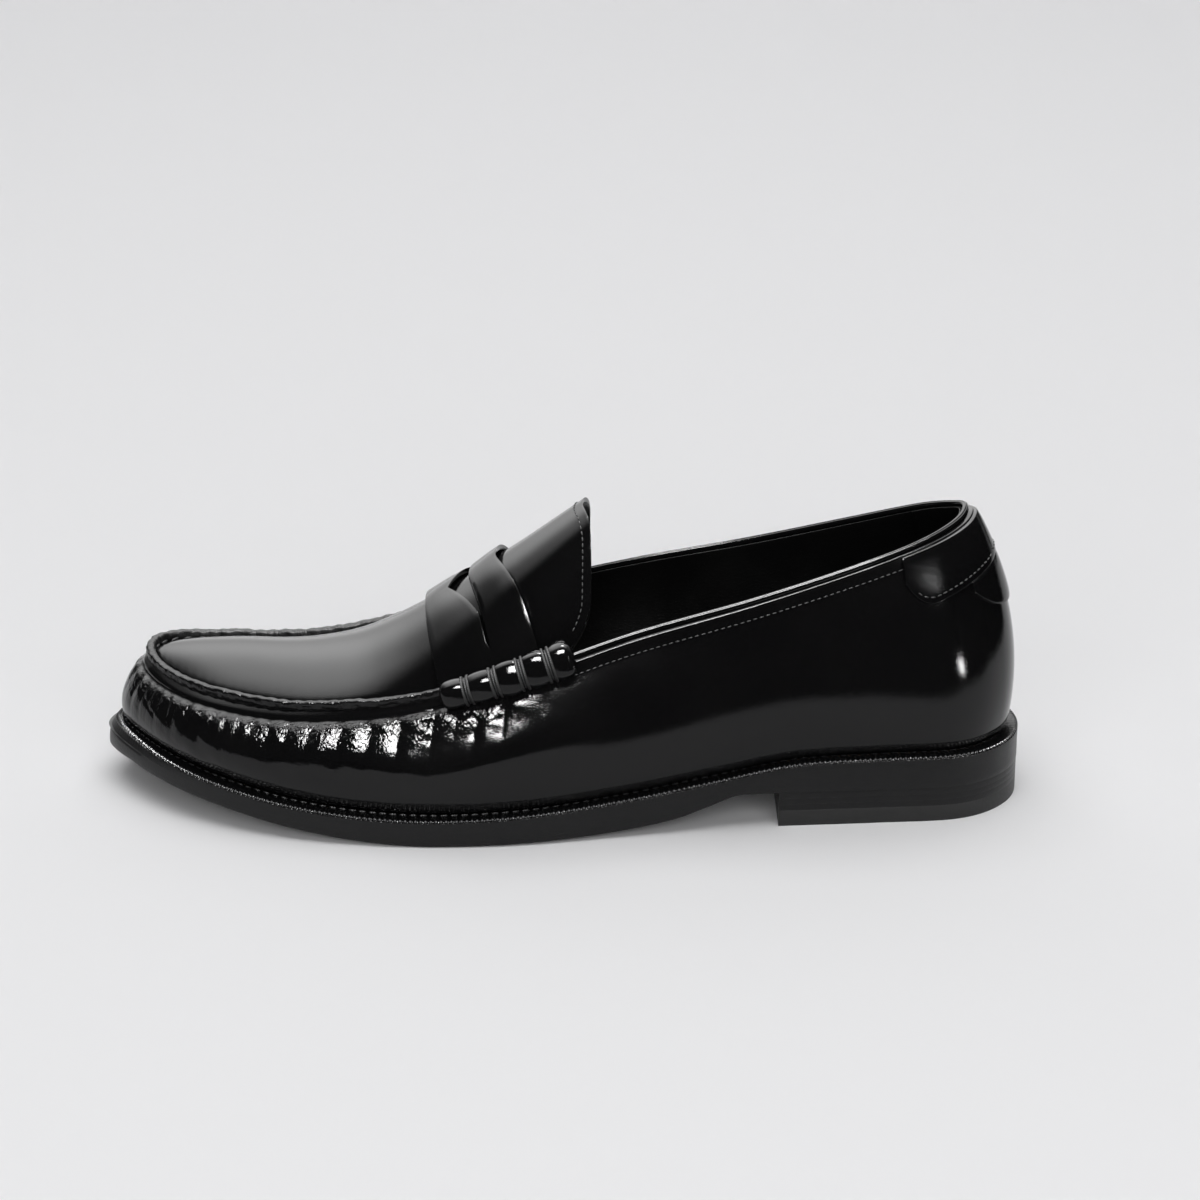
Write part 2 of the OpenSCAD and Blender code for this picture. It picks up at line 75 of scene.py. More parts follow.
# Stations round the last, from the back seam along the outer side to the toe and back along the
# inner side: sole edge x, y, then top of the wall x, y, z, then how far the wall bulges.
STATIONS = np.array([
    [150, 3, 132, 3, 96, 7],
    [144.7, -15, 128.5, -5.5, 93.6, 7],
    [129, -27.8, 117, -15, 90, 7],
    [100, -31.5, 96, -22.5, 84, 6.5],
    [62, -35, 62, -27, 73.8, 6.5],
    [22, -42.5, 24, -29.5, 63.2, 7],
    [-14, -49.5, -10, -35, 52.8, 6.5],
    [-50, -50.5, -46, -35, 42.5, 6],
    [-86, -44, -82, -30, 38, 6],
    [-116, -30, -110, -19, 38, 5.5],
    [-138, -10.5, -129, -3, 39.6, 4],
    [-150, 12, -136, 13, 41.8, 3.5],
    [-140, 36, -130, 26, 41.4, 4.5],
    [-116, 47, -110, 30.5, 40.2, 6],
    [-86, 50.5, -82, 30.5, 40.6, 7],
    [-50, 50, -48, 33.5, 46.8, 7],
    [-14, 42.5, -12, 35, 58, 6.5],
    [22, 35, 24, 34, 67.2, 7],
    [62, 33.5, 62, 32.5, 75, 6.5],
    [100, 36.5, 96, 27.5, 84, 6.5],
    [129, 33.8, 117, 20.5, 90.7, 7],
    [144.7, 21, 128.5, 11.5, 94.4, 7]], float)
COUNT = len(STATIONS)
TOE = COUNT // 2

WELT_TOP = [(-150, 20.5), (-138, 18.9), (-108, 14.6), (-85, 11.6), (-60, 9.7), (-38, 9.2),
            (-10, 10.2), (20, 12.8), (50, 17), (75, 21.2), (95, 22.2), (150, 22.5)]
SOLE_BOTTOM = [(-150, 13.2), (-138, 11.1), (-108, 6.9), (-85, 3.6), (-60, 0.9), (-40, 0),
               (-15, 0.3), (15, 1.6), (36, 4.4), (48, 8.1), (58, 11.5), (80, 11.5), (150, 11.5)]
RIDGE = [(-136, 42), (-128, 44.5), (-118, 46.5), (-105, 47.8), (-90, 48.3), (-78, 49.3),
         (-66, 51.7), (-54, 56.8), (-42, 63.5), (-30, 71.2), (-20, 78.2), (-10, 85.2), (0, 92.4),
         (12, 101)]

# The tables are for a sole 300 mm long and 101.85 mm wide; the frame's own sole stretches them
sole_lo, sole_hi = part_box("welt")
KX = (sole_hi.x - sole_lo.x) / MM / 300
KY = (sole_hi.y - sole_lo.y) / MM / 101.85
STATIONS[:, [0, 2]] *= KX
STATIONS[:, [1, 3]] *= KY


# ---- curves ----

def mix(a, b, t):
    return a + (b - a) * t


def ramp(x, x0, x1, a=0.0, b=1.0):
    """a before x0, b after x1, straight between."""
    return a + (b - a) * np.clip((np.asarray(x, float) - x0) / (x1 - x0), 0, 1)


def smooth(x, x0, x1):
    t = ramp(x, x0, x1)
    return t * t * (3 - 2 * t)


def bump(x, centre, width):
    return np.exp(-(((np.asarray(x, float) - centre) / width) ** 2))


def unit(v):
    return v / np.linalg.norm(v, axis=-1, keepdims=True)


def station(s):
    """The stations' row at any place between them, on a smooth curve through them all."""
    s = np.asarray(s, float)
    i = np.floor(s).astype(int)
    t = (s - i)[..., None]
    a, b, c, d = (STATIONS[(i + k) % COUNT] for k in (-1, 0, 1, 2))
    return 0.5 * (2 * b + (c - a) * t + (2 * a - 5 * b + 4 * c - d) * t * t
                  + (3 * b - a - 3 * c + d) * t ** 3)


def height(table, x):
    """Height at x from a table of (x, height), on a smooth curve."""
    table = np.array(table, float)
    xs, zs = table[:, 0], table[:, 1]
    x = np.asarray(x, float) / KX
    i = np.clip(np.searchsorted(xs, x, side="right") - 1, 0, len(xs) - 2)
    h = xs[i + 1] - xs[i]
    t = np.clip((x - xs[i]) / h, 0, 1)

    def slope(j):
        lo, hi = np.clip(j - 1, 0, len(xs) - 1), np.clip(j + 1, 0, len(xs) - 1)
        return (zs[hi] - zs[lo]) / (xs[hi] - xs[lo])

    return ((2 * t ** 3 - 3 * t * t + 1) * zs[i] + (t ** 3 - 2 * t * t + t) * h * slope(i)
            + (3 * t * t - 2 * t ** 3) * zs[i + 1] + (t ** 3 - t * t) * h * slope(i + 1))


def welt_top(x):
    return height(WELT_TOP, x)


def sole_bottom(x):
    return np.clip(height(SOLE_BOTTOM, x), 0, HEEL_HEIGHT)


def outward(s):
    """Level direction out of the shoe."""
    d = unit(station(np.asarray(s) + 0.01)[..., :2] - station(np.asarray(s) - 0.01)[..., :2])
    return np.stack([-d[..., 1], d[..., 0]], -1)


def point(xy, z):
    return np.concatenate([xy, np.broadcast_to(z, xy.shape[:-1])[..., None]], -1)


def sole_edge(s, inset=0.0):
    return station(s)[..., :2] - np.asarray(inset)[..., None] * outward(s)


def side(s, h, d=0.0):
    """Point on the side of the upper, h from 0 at the welt to 1 at the top edge, d below its face."""
    s, h, d = np.broadcast_arrays(*(np.asarray(q, float) for q in (s, h, d)))
    r, n = station(s), outward(s)
    foot = point(r[..., :2] - ramp(r[..., 0], -60, 60, 5, 3.6)[..., None] * n, welt_top(r[..., 0]))
    return mix(foot, r[..., 2:5], h[..., None]) + point(
        (r[..., 5] * 4 * h * (1 - h) - d)[..., None] * n, 0.0)


def tallness(s):
    r = station(s)
    return r[..., 4] - welt_top(r[..., 0])


def drop(s, below):
    """Share of the side's height at a distance below its top."""
    return 1 - below / tallness(s)


def rail(s, inset):
    """Top edge of the side, moved in."""
    r, n = station(s), outward(s)
    return point(r[..., 2:4] - np.asarray(inset)[..., None] * n, r[..., 4])


RAIL_SPAN = 4.8  # stations from the toe to where u is 1


def instep(u, v, lift=0.0, inset=0.0):
    """Point over the instep: u from the toe back to the strap and the tongue, v from outer to inner."""
    u, v, lift, inset = np.broadcast_arrays(*(np.asarray(q, float) for q in (u, v, lift, inset)))
    a, b = rail(TOE - RAIL_SPAN * u, inset), rail(TOE + RAIL_SPAN * u, inset)
    x = (a[..., 0] + b[..., 0]) / 2
    crown = height(RIDGE, x) - (a[..., 2] + b[..., 2]) / 2
    p = mix(a, b, v[..., None])
    power = ramp(x, -60, -15, 2, np.where(v < 0.5, 2.5, 2.1))
    p[..., 2] += crown * (1 - off_middle(v) ** power) + lift
    return p


def off_middle(v):
    """0 on the middle line, 1 at both edges."""
    return np.abs(2 * v - 1)


def lengths(path, closed=False):
    """Distance along a path at each of its points."""
    path = np.concatenate([path, path[:1]]) if closed else path
    return np.concatenate([[0], np.cumsum(np.linalg.norm(np.diff(path, axis=0), axis=1))])


def wander(x, pitch, seed):
    """Smooth random wave of height -1 to 1 that changes about once every pitch."""
    rng = np.random.default_rng(SEED + seed)
    x = np.asarray(x, float) / pitch
    lo = int(np.floor(x.min())) - 1
    knots = rng.uniform(-1, 1, int(np.ceil(x.max())) - lo + 3)
    i = np.floor(x).astype(int)
    t = x - i
    t = t * t * (3 - 2 * t)
    return mix(knots[i - lo], knots[i - lo + 1], t)


# ---- meshes ----

def show(name, data):
    thing = bpy.data.objects.new(name, data)
    bpy.context.scene.collection.objects.link(thing)
    return thing


def build(name, verts, faces, material):
    """Smooth mesh from points in millimetres, joined where they meet, faces outwards."""
    mesh = bpy.data.meshes.new(name)
    mesh.from_pydata((np.asarray(verts).reshape(-1, 3) * MM).tolist(), [], faces)
    edit = bmesh.new()
    edit.from_mesh(mesh)
    bmesh.ops.remove_doubles(edit, verts=edit.verts, dist=0.004 * MM)
    bmesh.ops.dissolve_degenerate(edit, edges=edit.edges, dist=0.001 * MM)
    bmesh.ops.recalc_face_normals(edit, faces=edit.faces)
    edit.to_mesh(mesh)
    edit.free()
    mesh.materials.append(material)
    mesh.shade_smooth()
    return show(name, mesh)


def grid_faces(n, m, wrap_rows=False, wrap_points=False):
    """Faces between n rows of m points, joined end to end where asked."""
    return [(i * m + j, i * m + (j + 1) % m, (i + 1) % n * m + (j + 1) % m, (i + 1) % n * m + j)
            for i in range(n if wrap_rows else n - 1) for j in range(m if wrap_points else m - 1)]


def loft(name, rings, material, closed=False):
    """Closed solid through rings of points, joined end to end or capped."""
    n, m = rings.shape[:2]
    faces = grid_faces(n, m, closed, True)
    if not closed:
        faces += [tuple(range(m)), tuple((n - 1) * m + j for j in reversed(range(m)))]
    return build(name, rings, faces, material)


def rounded(piece, width):
    bevel = piece.modifiers.new("edge", "BEVEL")
    bevel.width, bevel.segments, bevel.limit_method = width * MM, 3, "ANGLE"
    bevel.angle_limit = math.radians(50)
    return finished(piece)


def finished(piece):
    """The same piece with its modifiers applied."""
    mesh = bpy.data.meshes.new_from_object(piece.evaluated_get(bpy.context.evaluated_depsgraph_get()))
    piece.modifiers.clear()
    piece.data = mesh
    return piece


def slab(name, front, back, material, edge=0.0, holes=None):
    """Solid between two grids of points, with cells left out where holes is true."""
    n, m = front.shape[:2]
    there = np.ones((n - 1, m - 1), bool) if holes is None else ~holes
    under = n * m
    faces = []
    for i, j in zip(*np.nonzero(there)):
        i, j = int(i), int(j)
        a, b, c, d = i * m + j, i * m + j + 1, (i + 1) * m + j + 1, (i + 1) * m + j
        faces += [(a, b, c, d), (under + a, under + d, under + c, under + b)]
        for ni, nj, p, q in ((i - 1, j, a, b), (i, j + 1, b, c), (i + 1, j, c, d), (i, j - 1, d, a)):
            if not (0 <= ni < n - 1 and 0 <= nj < m - 1 and there[ni, nj]):
                faces.append((p, under + p, under + q, q))
    used = sorted({k for f in faces for k in f})
    renumber = {k: i for i, k in enumerate(used)}
    points = np.concatenate([front.reshape(-1, 3), back.reshape(-1, 3)])[used]
    piece = build(name, points, [tuple(renumber[k] for k in f) for f in faces], material)
    return rounded(piece, edge) if edge else piece


def paint(piece, name, points, values):
    """Gives each vertex the number of the nearest point, for a material to read."""
    points, values = np.asarray(points).reshape(-1, 3) * MM, np.asarray(values).ravel()
    tree = KDTree(len(points))
    for k, p in enumerate(points):
        tree.insert(p, k)
    tree.balance()
    nearest = [tree.find(vertex.co)[1] for vertex in piece.data.vertices]
    layer = piece.data.attributes.new(name, "FLOAT", "POINT")
    layer.data.foreach_set("value", values[nearest].astype(np.float32))


def stands_for(piece, node):
    """The piece rides on the shoe and is shown in place of the frame's node."""
    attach(piece, "shoe")
    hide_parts(node)


# ---- finishes ----

def set_inputs(node, values):
    for label, value in values.items():
        node.inputs[label].default_value = value


def add(tree, kind, values=None, **settings):
    node = tree.nodes.new(kind)
    for key, value in settings.items():
        setattr(node, key, value)
    set_inputs(node, values or {})
    return node


def wire(tree, *links):
    """Each link is a node, its output, the next node and its input."""
    for source, out, target, into in links:
        tree.links.new(source.outputs[out], target.inputs[into])


def effect(name, kind, inputs, outputs):
    """New node group; inputs are (name, kind of socket, value)."""
    group = bpy.data.node_groups.new(name, kind)
    for label, socket_kind, *value in inputs:
        socket = group.interface.new_socket(label, in_out="INPUT", socket_type="NodeSocket" + socket_kind)
        if value:
            socket.default_value = value[0]
    for label, socket_kind in outputs:
        group.interface.new_socket(label, in_out="OUTPUT", socket_type="NodeSocket" + socket_kind)
    return group, group.nodes.new("NodeGroupInput"), group.nodes.new("NodeGroupOutput")


def grain_effect():
    """Leather grain: tiny plates with creases between them, and slow waves in the hide."""
    group, gin, gout = effect(
        "leather_grain", "ShaderNodeTree",
        [("Vector", "Vector"), ("Plates", "Float", 900.0), ("Wave", "Float", 90.0),
         ("Plate Depth", "Float", 0.3), ("Wave Depth", "Float", 0.7)],
        [("Height", "Float"), ("Cloud", "Float")])
    plates = add(group, "ShaderNodeTexVoronoi", feature="DISTANCE_TO_EDGE")
    soften = add(group, "ShaderNodeMapRange", {"From Max": 0.25}, interpolation_type="SMOOTHSTEP")
    wave = add(group, "ShaderNodeTexNoise", {"Detail": 3})
    cloud = add(group, "ShaderNodeTexNoise", {"Scale": 38, "Detail": 4})
    fine = add(group, "ShaderNodeMath", operation="MULTIPLY")
    slow = add(group, "ShaderNodeMath", operation="MULTIPLY_ADD")
    wire(group, (gin, "Vector", plates, "Vector"), (gin, "Vector", wave, "Vector"),
         (gin, "Vector", cloud, "Vector"), (gin, "Plates", plates, "Scale"), (gin, "Wave", wave, "Scale"),
         (plates, "Distance", soften, "Value"), (soften, "Result", fine, 0), (gin, "Plate Depth", fine, 1),
         (wave, "Fac", slow, 0), (gin, "Wave Depth", slow, 1), (fine, 0, slow, 2),
         (slow, 0, gout, "Height"), (cloud, "Fac", gout, "Cloud"))
    return group


def streak_effect():
    """Fine upright creases, for leather drawn together by a seam, and streaks down a cut edge."""
    group, gin, gout = effect(
        "upright_creases", "ShaderNodeTree",
        [("Vector", "Vector"), ("Closeness", "Float", 1100.0), ("Length", "Float", 0.12)],
        [("Height", "Float")])
    stretch = add(group, "ShaderNodeCombineXYZ", {"X": 1, "Y": 1})
    shape = add(group, "ShaderNodeVectorMath", operation="MULTIPLY")
    noise = add(group, "ShaderNodeTexNoise", {"Detail": 2, "Distortion": 0.4})
    wire(group, (gin, "Length", stretch, "Z"), (gin, "Vector", shape, 0), (stretch, 0, shape, 1),
         (shape, 0, noise, "Vector"), (gin, "Closeness", noise, "Scale"), (noise, "Fac", gout, "Height"))
    return group


GRAIN = grain_effect()
CREASES = streak_effect()


def new_material(name):
    """A material and its main shader; the functions below add to that shader's node tree."""
    material = bpy.data.materials.new(name)
    material.use_nodes = True
    return material, material.node_tree.nodes["Principled BSDF"]


def on_piece(node):
    """Ties a texture or an effect to the piece's own coordinates."""
    tree = node.id_data
    wire(tree, (add(tree, "ShaderNodeTexCoord"), "Object", node, "Vector"))
    return node


def use_effect(shader, group, **sizes):
    node = add(shader.id_data, "ShaderNodeGroup", node_tree=group)
    set_inputs(node, {label.replace("_", " "): value for label, value in sizes.items()})
    return on_piece(node)


def painted(shader, name):
    return add(shader.id_data, "ShaderNodeAttribute", attribute_name=name)


def colour(shader, node, out, dark, pale):
    mixed = add(shader.id_data, "ShaderNodeMix", {6: (*dark, 1), 7: (*pale, 1)}, data_type="RGBA")
    wire(shader.id_data, (node, out, mixed, 0), (mixed, 2, shader, "Base Color"))
    return mixed


def roughness(shader, node, out, low, high):
    spread = add(shader.id_data, "ShaderNodeMapRange",
                 {"From Min": 0.3, "From Max": 0.7, "To Min": low, "To Max": high})
    wire(shader.id_data, (node, out, spread, "Value"), (spread, "Result", shader, "Roughness"))
    return spread


def rougher_where(shader, base, name, amount):
    """Adds to the roughness where the piece is painted so; a negative amount polishes it."""
    more = add(shader.id_data, "ShaderNodeMath", {1: amount}, operation="MULTIPLY_ADD")
    wire(shader.id_data, (painted(shader, name), "Fac", more, 0), (base, "Result", more, 2),
         (more, 0, shader, "Roughness"))


def relief(shader, node, out, distance, below=None, strength=1.0):
    raised = add(shader.id_data, "ShaderNodeBump", {"Distance": distance, "Strength": strength})
    wire(shader.id_data, (node, out, raised, "Height"), (raised, "Normal", shader, "Normal"))
    if below is not None:
        wire(shader.id_data, (below, "Normal", raised, "Normal"))
    return raised


def polished_leather(name, rough=(0.06, 0.10), creased=False):
    material, shader = new_material(name)
    grain = use_effect(shader, GRAIN, Plates=1500.0, Wave=70.0, Plate_Depth=0.10, Wave_Depth=1.0)
    colour(shader, grain, "Cloud", (0.003, 0.003, 0.0033), (0.006, 0.0059, 0.006))
    base = roughness(shader, grain, "Cloud", *rough)
    set_inputs(shader, {"Specular IOR Level": 0.28})
    hide = relief(shader, grain, "Height", 0.00006)
    if creased:
        creases = use_effect(shader, CREASES, Closeness=950.0, Length=0.16)
        amount = add(shader.id_data, "ShaderNodeMath", operation="MULTIPLY")
        wire(shader.id_data, (creases, "Height", amount, 0), (painted(shader, "drawn"), "Fac", amount, 1))
        relief(shader, amount, 0, 0.00045, hide)
        rougher_where(shader, base, "raw_edge", 0.34)
    return material


def plain_leather(name, dark, pale, rough, plates=1100.0, shine=0.5):
    material, shader = new_material(name)
    grain = use_effect(shader, GRAIN, Plates=plates, Wave=160.0, Plate_Depth=0.6, Wave_Depth=0.5)
    colour(shader, grain, "Cloud", dark, pale)
    roughness(shader, grain, "Cloud", *rough)
    relief(shader, grain, "Height", 0.0001)
    set_inputs(shader, {"Specular IOR Level": shine})
    return material


def dressed_edge(name, waxed=False):
    """Cut and dressed leather: fine streaks along the edge, satin wax over it. Where waxed, the crests of the
    wheel marks also get a painted highlight, a light grey mixed into the dye.
    """
    material, shader = new_material(name)
    grain = use_effect(shader, GRAIN, Plates=1400.0, Wave=220.0, Plate_Depth=0.35, Wave_Depth=0.6)
    streaks = use_effect(shader, CREASES, Closeness=260.0, Length=6.0)
    dye = colour(shader, streaks, "Height", (0.003, 0.003, 0.0033), (0.006, 0.006, 0.0064))
    base = roughness(shader, grain, "Cloud", 0.32, 0.40)
    hide = relief(shader, grain, "Height", 0.00007)
    relief(shader, streaks, "Height", 0.0001, hide, 0.35)
    set_inputs(shader, {"Specular IOR Level": 0.3})
    if waxed:
        rougher_where(shader, base, "waxed", -0.27)
        # painted highlight: light grey mixed into the colour on the crests of the wheel marks, standing in for
        # their glints
        wear_and_glint = add(shader.id_data, "ShaderNodeMix", {7: (0.26, 0.26, 0.265, 1)}, data_type="RGBA")
        wire(shader.id_data, (painted(shader, "crest_glint"), "Fac", wear_and_glint, 0), (dye, 2, wear_and_glint, 6),
             (wear_and_glint, 2, shader, "Base Color"))
    return material


def waxed_thread():
    material, shader = new_material("waxed_thread")
    twist = on_piece(add(shader.id_data, "ShaderNodeTexWave", {"Scale": 900}, bands_direction="DIAGONAL"))
    colour(shader, twist, "Fac", (0.004, 0.004, 0.00425), (0.008, 0.008, 0.0085))
    roughness(shader, twist, "Fac", 0.5, 0.6)
    relief(shader, twist, "Fac", 0.00008)
    return material


def speckled(name, dark, pale, scale, rough, metallic=0.0):
    material, shader = new_material(name)
    noise = on_piece(add(shader.id_data, "ShaderNodeTexNoise", {"Scale": scale, "Detail": 5}))
    colour(shader, noise, "Fac", dark, pale)
    roughness(shader, noise, "Fac", rough - 0.06, rough + 0.06)
    relief(shader, noise, "Fac", 0.00012, None, 0.4)
    set_inputs(shader, {"Metallic": metallic})
    return material


upper_leather = polished_leather("polished_upper", creased=True)
panel_leather = polished_leather("polished_panel")
rolled_leather = polished_leather("polished_roll", rough=(0.05, 0.08))
lining_leather = plain_leather("lining_leather", (0.001, 0.001, 0.001), (0.003, 0.0029, 0.0028),
                               (0.38, 0.5), shine=0.14)
board_leather = plain_leather("board_leather", (0.42, 0.30, 0.19), (0.56, 0.42, 0.28), (0.6, 0.75), 500.0)
sole_leather = dressed_edge("dressed_sole_edge")
welt_leather = dressed_edge("waxed_welt_painted_glint", waxed=True)
black_thread = waxed_thread()
heel_rubber = speckled("heel_rubber", (0.003, 0.003, 0.003), (0.006, 0.006, 0.006), 900, 0.45)
cork = speckled("pressed_cork", (0.22, 0.13, 0.07), (0.52, 0.38, 0.24), 420, 0.8)
spring_steel = speckled("spring_steel", (0.45, 0.46, 0.48), (0.62, 0.63, 0.65), 300, 0.35, 1.0)
brad_brass = speckled("brad_brass", (0.6, 0.46, 0.2), (0.8, 0.64, 0.32), 500, 0.35, 1.0)


# ---- stitches ----

def ends_as_thread(group, gin, gout, last, out):
    """Ends a tree: real, smooth geometry in the thread's material."""
    real = add(group, "GeometryNodeRealizeInstances")
    soft = add(group, "GeometryNodeSetShadeSmooth")
    dye = add(group, "GeometryNodeSetMaterial")
    wire(group, (last, out, real, 0), (real, 0, soft, 0), (soft, 0, dye, 0),
         (gin, "Thread", dye, "Material"), (dye, 0, gout, 0))
    return group


def stitch_tree():
    """A stitch on every point, lying along the point's own direction and facing out of the leather."""
    group, gin, gout = effect(
        "row_of_stitches", "GeometryNodeTree",
        [("Geometry", "Geometry"), ("Stitch Length", "Float", 3 * MM),
         ("Thread Width", "Float", THREAD * MM), ("Slant", "Float", 0.0), ("Unevenness", "Float", 0.06),
         ("Seed", "Int", SEED), ("Thread", "Material")],
        [("Geometry", "Geometry")])
    bead = add(group, "GeometryNodeMeshUVSphere", {"Segments": 8, "Rings": 7, "Radius": 0.5})
    along, facing = (add(group, "GeometryNodeInputNamedAttribute", {"Name": label},
                         data_type="FLOAT_VECTOR") for label in ("along", "facing"))
    lay = add(group, "FunctionNodeAlignRotationToVector", axis="X")
    turn = add(group, "FunctionNodeAlignRotationToVector", axis="Z", pivot_axis="X")
    jitter = add(group, "FunctionNodeRandomValue", data_type="FLOAT")
    less = add(group, "ShaderNodeMath", {1: -1}, operation="MULTIPLY")
    lean = add(group, "ShaderNodeMath", operation="ADD")
    angle = add(group, "ShaderNodeCombineXYZ")
    to_turn = add(group, "FunctionNodeEulerToRotation")
    slanted = add(group, "FunctionNodeRotateRotation", rotation_space="LOCAL")
    size = add(group, "ShaderNodeCombineXYZ")
    place = add(group, "GeometryNodeInstanceOnPoints")
    wire(group, (along, "Attribute", lay, "Vector"), (lay, "Rotation", turn, "Rotation"),
         (facing, "Attribute", turn, "Vector"), (gin, "Unevenness", less, 0), (less, 0, jitter, "Min"),
         (gin, "Unevenness", jitter, 3), (gin, "Seed", jitter, "Seed"), (jitter, 1, lean, 0),
         (gin, "Slant", lean, 1), (lean, 0, angle, "Z"), (angle, 0, to_turn, 0),
         (turn, "Rotation", slanted, "Rotation"), (to_turn, 0, slanted, "Rotate By"),
         (gin, "Stitch Length", size, "X"), (gin, "Thread Width", size, "Y"),
         (gin, "Thread Width", size, "Z"), (gin, "Geometry", place, "Points"), (bead, "Mesh", place, "Instance"),
         (slanted, "Rotation", place, "Rotation"), (size, 0, place, "Scale"))
    return ends_as_thread(group, gin, gout, place, "Instances")


def wrap_tree():
    """Thread of round section along every loop of edges."""
    group, gin, gout = effect(
        "wound_thread", "GeometryNodeTree",
        [("Geometry", "Geometry"), ("Thread Radius", "Float", THREAD / 2 * MM), ("Thread", "Material")],
        [("Geometry", "Geometry")])
    path = add(group, "GeometryNodeMeshToCurve")
    section = add(group, "GeometryNodeCurvePrimitiveCircle", {"Resolution": 8})
    tube = add(group, "GeometryNodeCurveToMesh")
    wire(group, (gin, "Geometry", path, "Mesh"), (gin, "Thread Radius", section, "Radius"),
         (path, "Curve", tube, "Curve"), (section, "Curve", tube, "Profile Curve"))
    return ends_as_thread(group, gin, gout, tube, "Mesh")


STITCHES = stitch_tree()
WRAPS = wrap_tree()


def grown(name, carrier, tree, values):
    """Runs a geometry tree on a carrier mesh and keeps the result as a plain mesh."""
    holder = show(name + "_path", carrier)
    modifier = holder.modifiers.new("grow", "NODES")
    modifier.node_group = tree
    for item in tree.interface.items_tree:
        if item.in_out == "INPUT" and item.name in values:
            modifier[item.identifier] = values[item.name]
    mesh = bpy.data.meshes.new_from_object(holder.evaluated_get(bpy.context.evaluated_depsgraph_get()))
    bpy.data.objects.remove(holder)
    for extra in ("along", "facing"):
        if extra in mesh.attributes:
            mesh.attributes.remove(mesh.attributes[extra])
    return show(name, mesh)


def stitches(name, runs, pitch, length, width, slant=0.0, unevenness=0.05):
    """Stitches a pitch apart along runs of (points, facing directions)."""
    def read_off(rows, run, at):
        return np.stack([np.interp(at, run, rows[:, k]) for k in range(3)], 1)

    spots, alongs, faces = [], [], []
    for path, facing in runs:
        run = lengths(path)
        count = max(int(run[-1] / pitch), 1)
        at = (np.arange(count) + 0.5) * run[-1] / count
        spots.append(read_off(path, run, at))
        alongs.append(unit(read_off(path, run, at + 0.4) - read_off(path, run, at - 0.4)))
        faces.append(unit(read_off(facing, run, at)))
    carrier = bpy.data.meshes.new(name)
    carrier.from_pydata((np.concatenate(spots) * MM).tolist(), [], [])
    for label, rows in (("along", alongs), ("facing", faces)):
        layer = carrier.attributes.new(label, "FLOAT_VECTOR", "POINT")
        layer.data.foreach_set("vector", np.concatenate(rows).astype(np.float32).ravel())
    return grown(name, carrier, STITCHES, {
        "Stitch Length": length * MM, "Thread Width": width * MM, "Slant": slant,
        "Unevenness": unevenness, "Seed": SEED, "Thread": black_thread})


def wound(name, loops, radius):
    verts, edges = [], []
    for loop in loops:
        first = len(verts)
        verts += (loop * MM).tolist()
        edges += [(first + k, first + (k + 1) % len(loop)) for k in range(len(loop))]
    carrier = bpy.data.meshes.new(name)
    carrier.from_pydata(verts, edges, [])
    return grown(name, carrier, WRAPS, {"Thread Radius": radius * MM, "Thread": black_thread})


# ---- bottom ----

edge_s = np.linspace(0, COUNT, 6000, endpoint=False)
edge_run = lengths(np.asarray(sole_edge(edge_s)), closed=True)
EDGE_LENGTH = edge_run[-1]


def edge_stations(n):
    """n stations an equal distance apart along the sole's edge."""
    return np.interp(np.arange(n) * EDGE_LENGTH / n, edge_run, np.append(edge_s, COUNT))


WHEEL_MARKS = int(EDGE_LENGTH / WHEEL_PITCH)
PER_MARK = 6  # rings of the welt to a mark
BEAD_R = 0.6  # roundness of the welt's outer corner


def from_toe(s):
    return np.abs(s - TOE)


def toe_lean(s, share):
    """How far the sole's edge leans in at the toe, share of the way up its height."""
    return 3.2 * smooth(from_toe(s), 2.4, 0.3) * share ** 2


def wheeled_welt():
    s = edge_stations(WHEEL_MARKS * PER_MARK)
    phase = np.arange(len(s)) / PER_MARK * 2 * math.pi
    tooth = (0.5 + 0.5 * np.cos(phase)) ** 1.4
    x = sole_edge(s)[:, 0]
    around = np.radians([0, 15, 30, 45, 60, 75, 90])
    # inset, height, how deeply the wheel marks it
    flank = [(WELT_WIDTH, -WELT_T, 0), (0.06, -WELT_T, 0), (0.0, -WELT_T, 0), (0.0, -2.6, 0),
             (0.0, -1.3, 0), (0.0, -0.85, 0.3)]
    corner = [(BEAD_R * (1 - math.cos(q)), BEAD_R * (math.sin(q) - 1), 1) for q in around]
    top = [(1.3, -0.02, 0.9), (2.3, -0.08, 0.8), (3.3, -0.15, 0.7), (4.2, -0.25, 0.3), (4.8, -0.4, 0),
           (7.0, -0.4, 0), (WELT_WIDTH, -0.4, 0)]
    rings = []
    for inset, z, marked in flank + corner + top:
        gap = marked * (1 - tooth)
        on_corner = inset < BEAD_R + 0.1
        p = sole_edge(s, inset + 0.32 * gap * on_corner + toe_lean(s, 1 + z / 7))
        rings.append(point(p, welt_top(x) + z - 0.45 * gap))
    rings = np.stack(rings, 1)
    piece = loft("wheeled_welt", rings, welt_leather, closed=True)
    waxed = [0] * (len(flank) - 1) + [0.3] + [1] * (len(corner) + len(top))
    # painted highlight: a lighter grey on each wheel mark's crest, strongest where the rounded corner faces half
    # way up
    crest_glint = np.array([0] * len(flank) + list(np.sin(2 * around) ** 2) + [0] * len(top))
    paint(piece, "waxed", rings, np.tile(waxed, len(s)))
    paint(piece, "crest_glint", rings, tooth[:, None] ** 2 * crest_glint[None, :])
    piece.data.set_sharp_from_angle(angle=SHARP_EDGE)
    return piece


stands_for(wheeled_welt(), "welt")


WELT_SEAM_INSET, WELT_SHELF = 5.3, 0.4  # the seam's place on the welt, and how low the welt is there


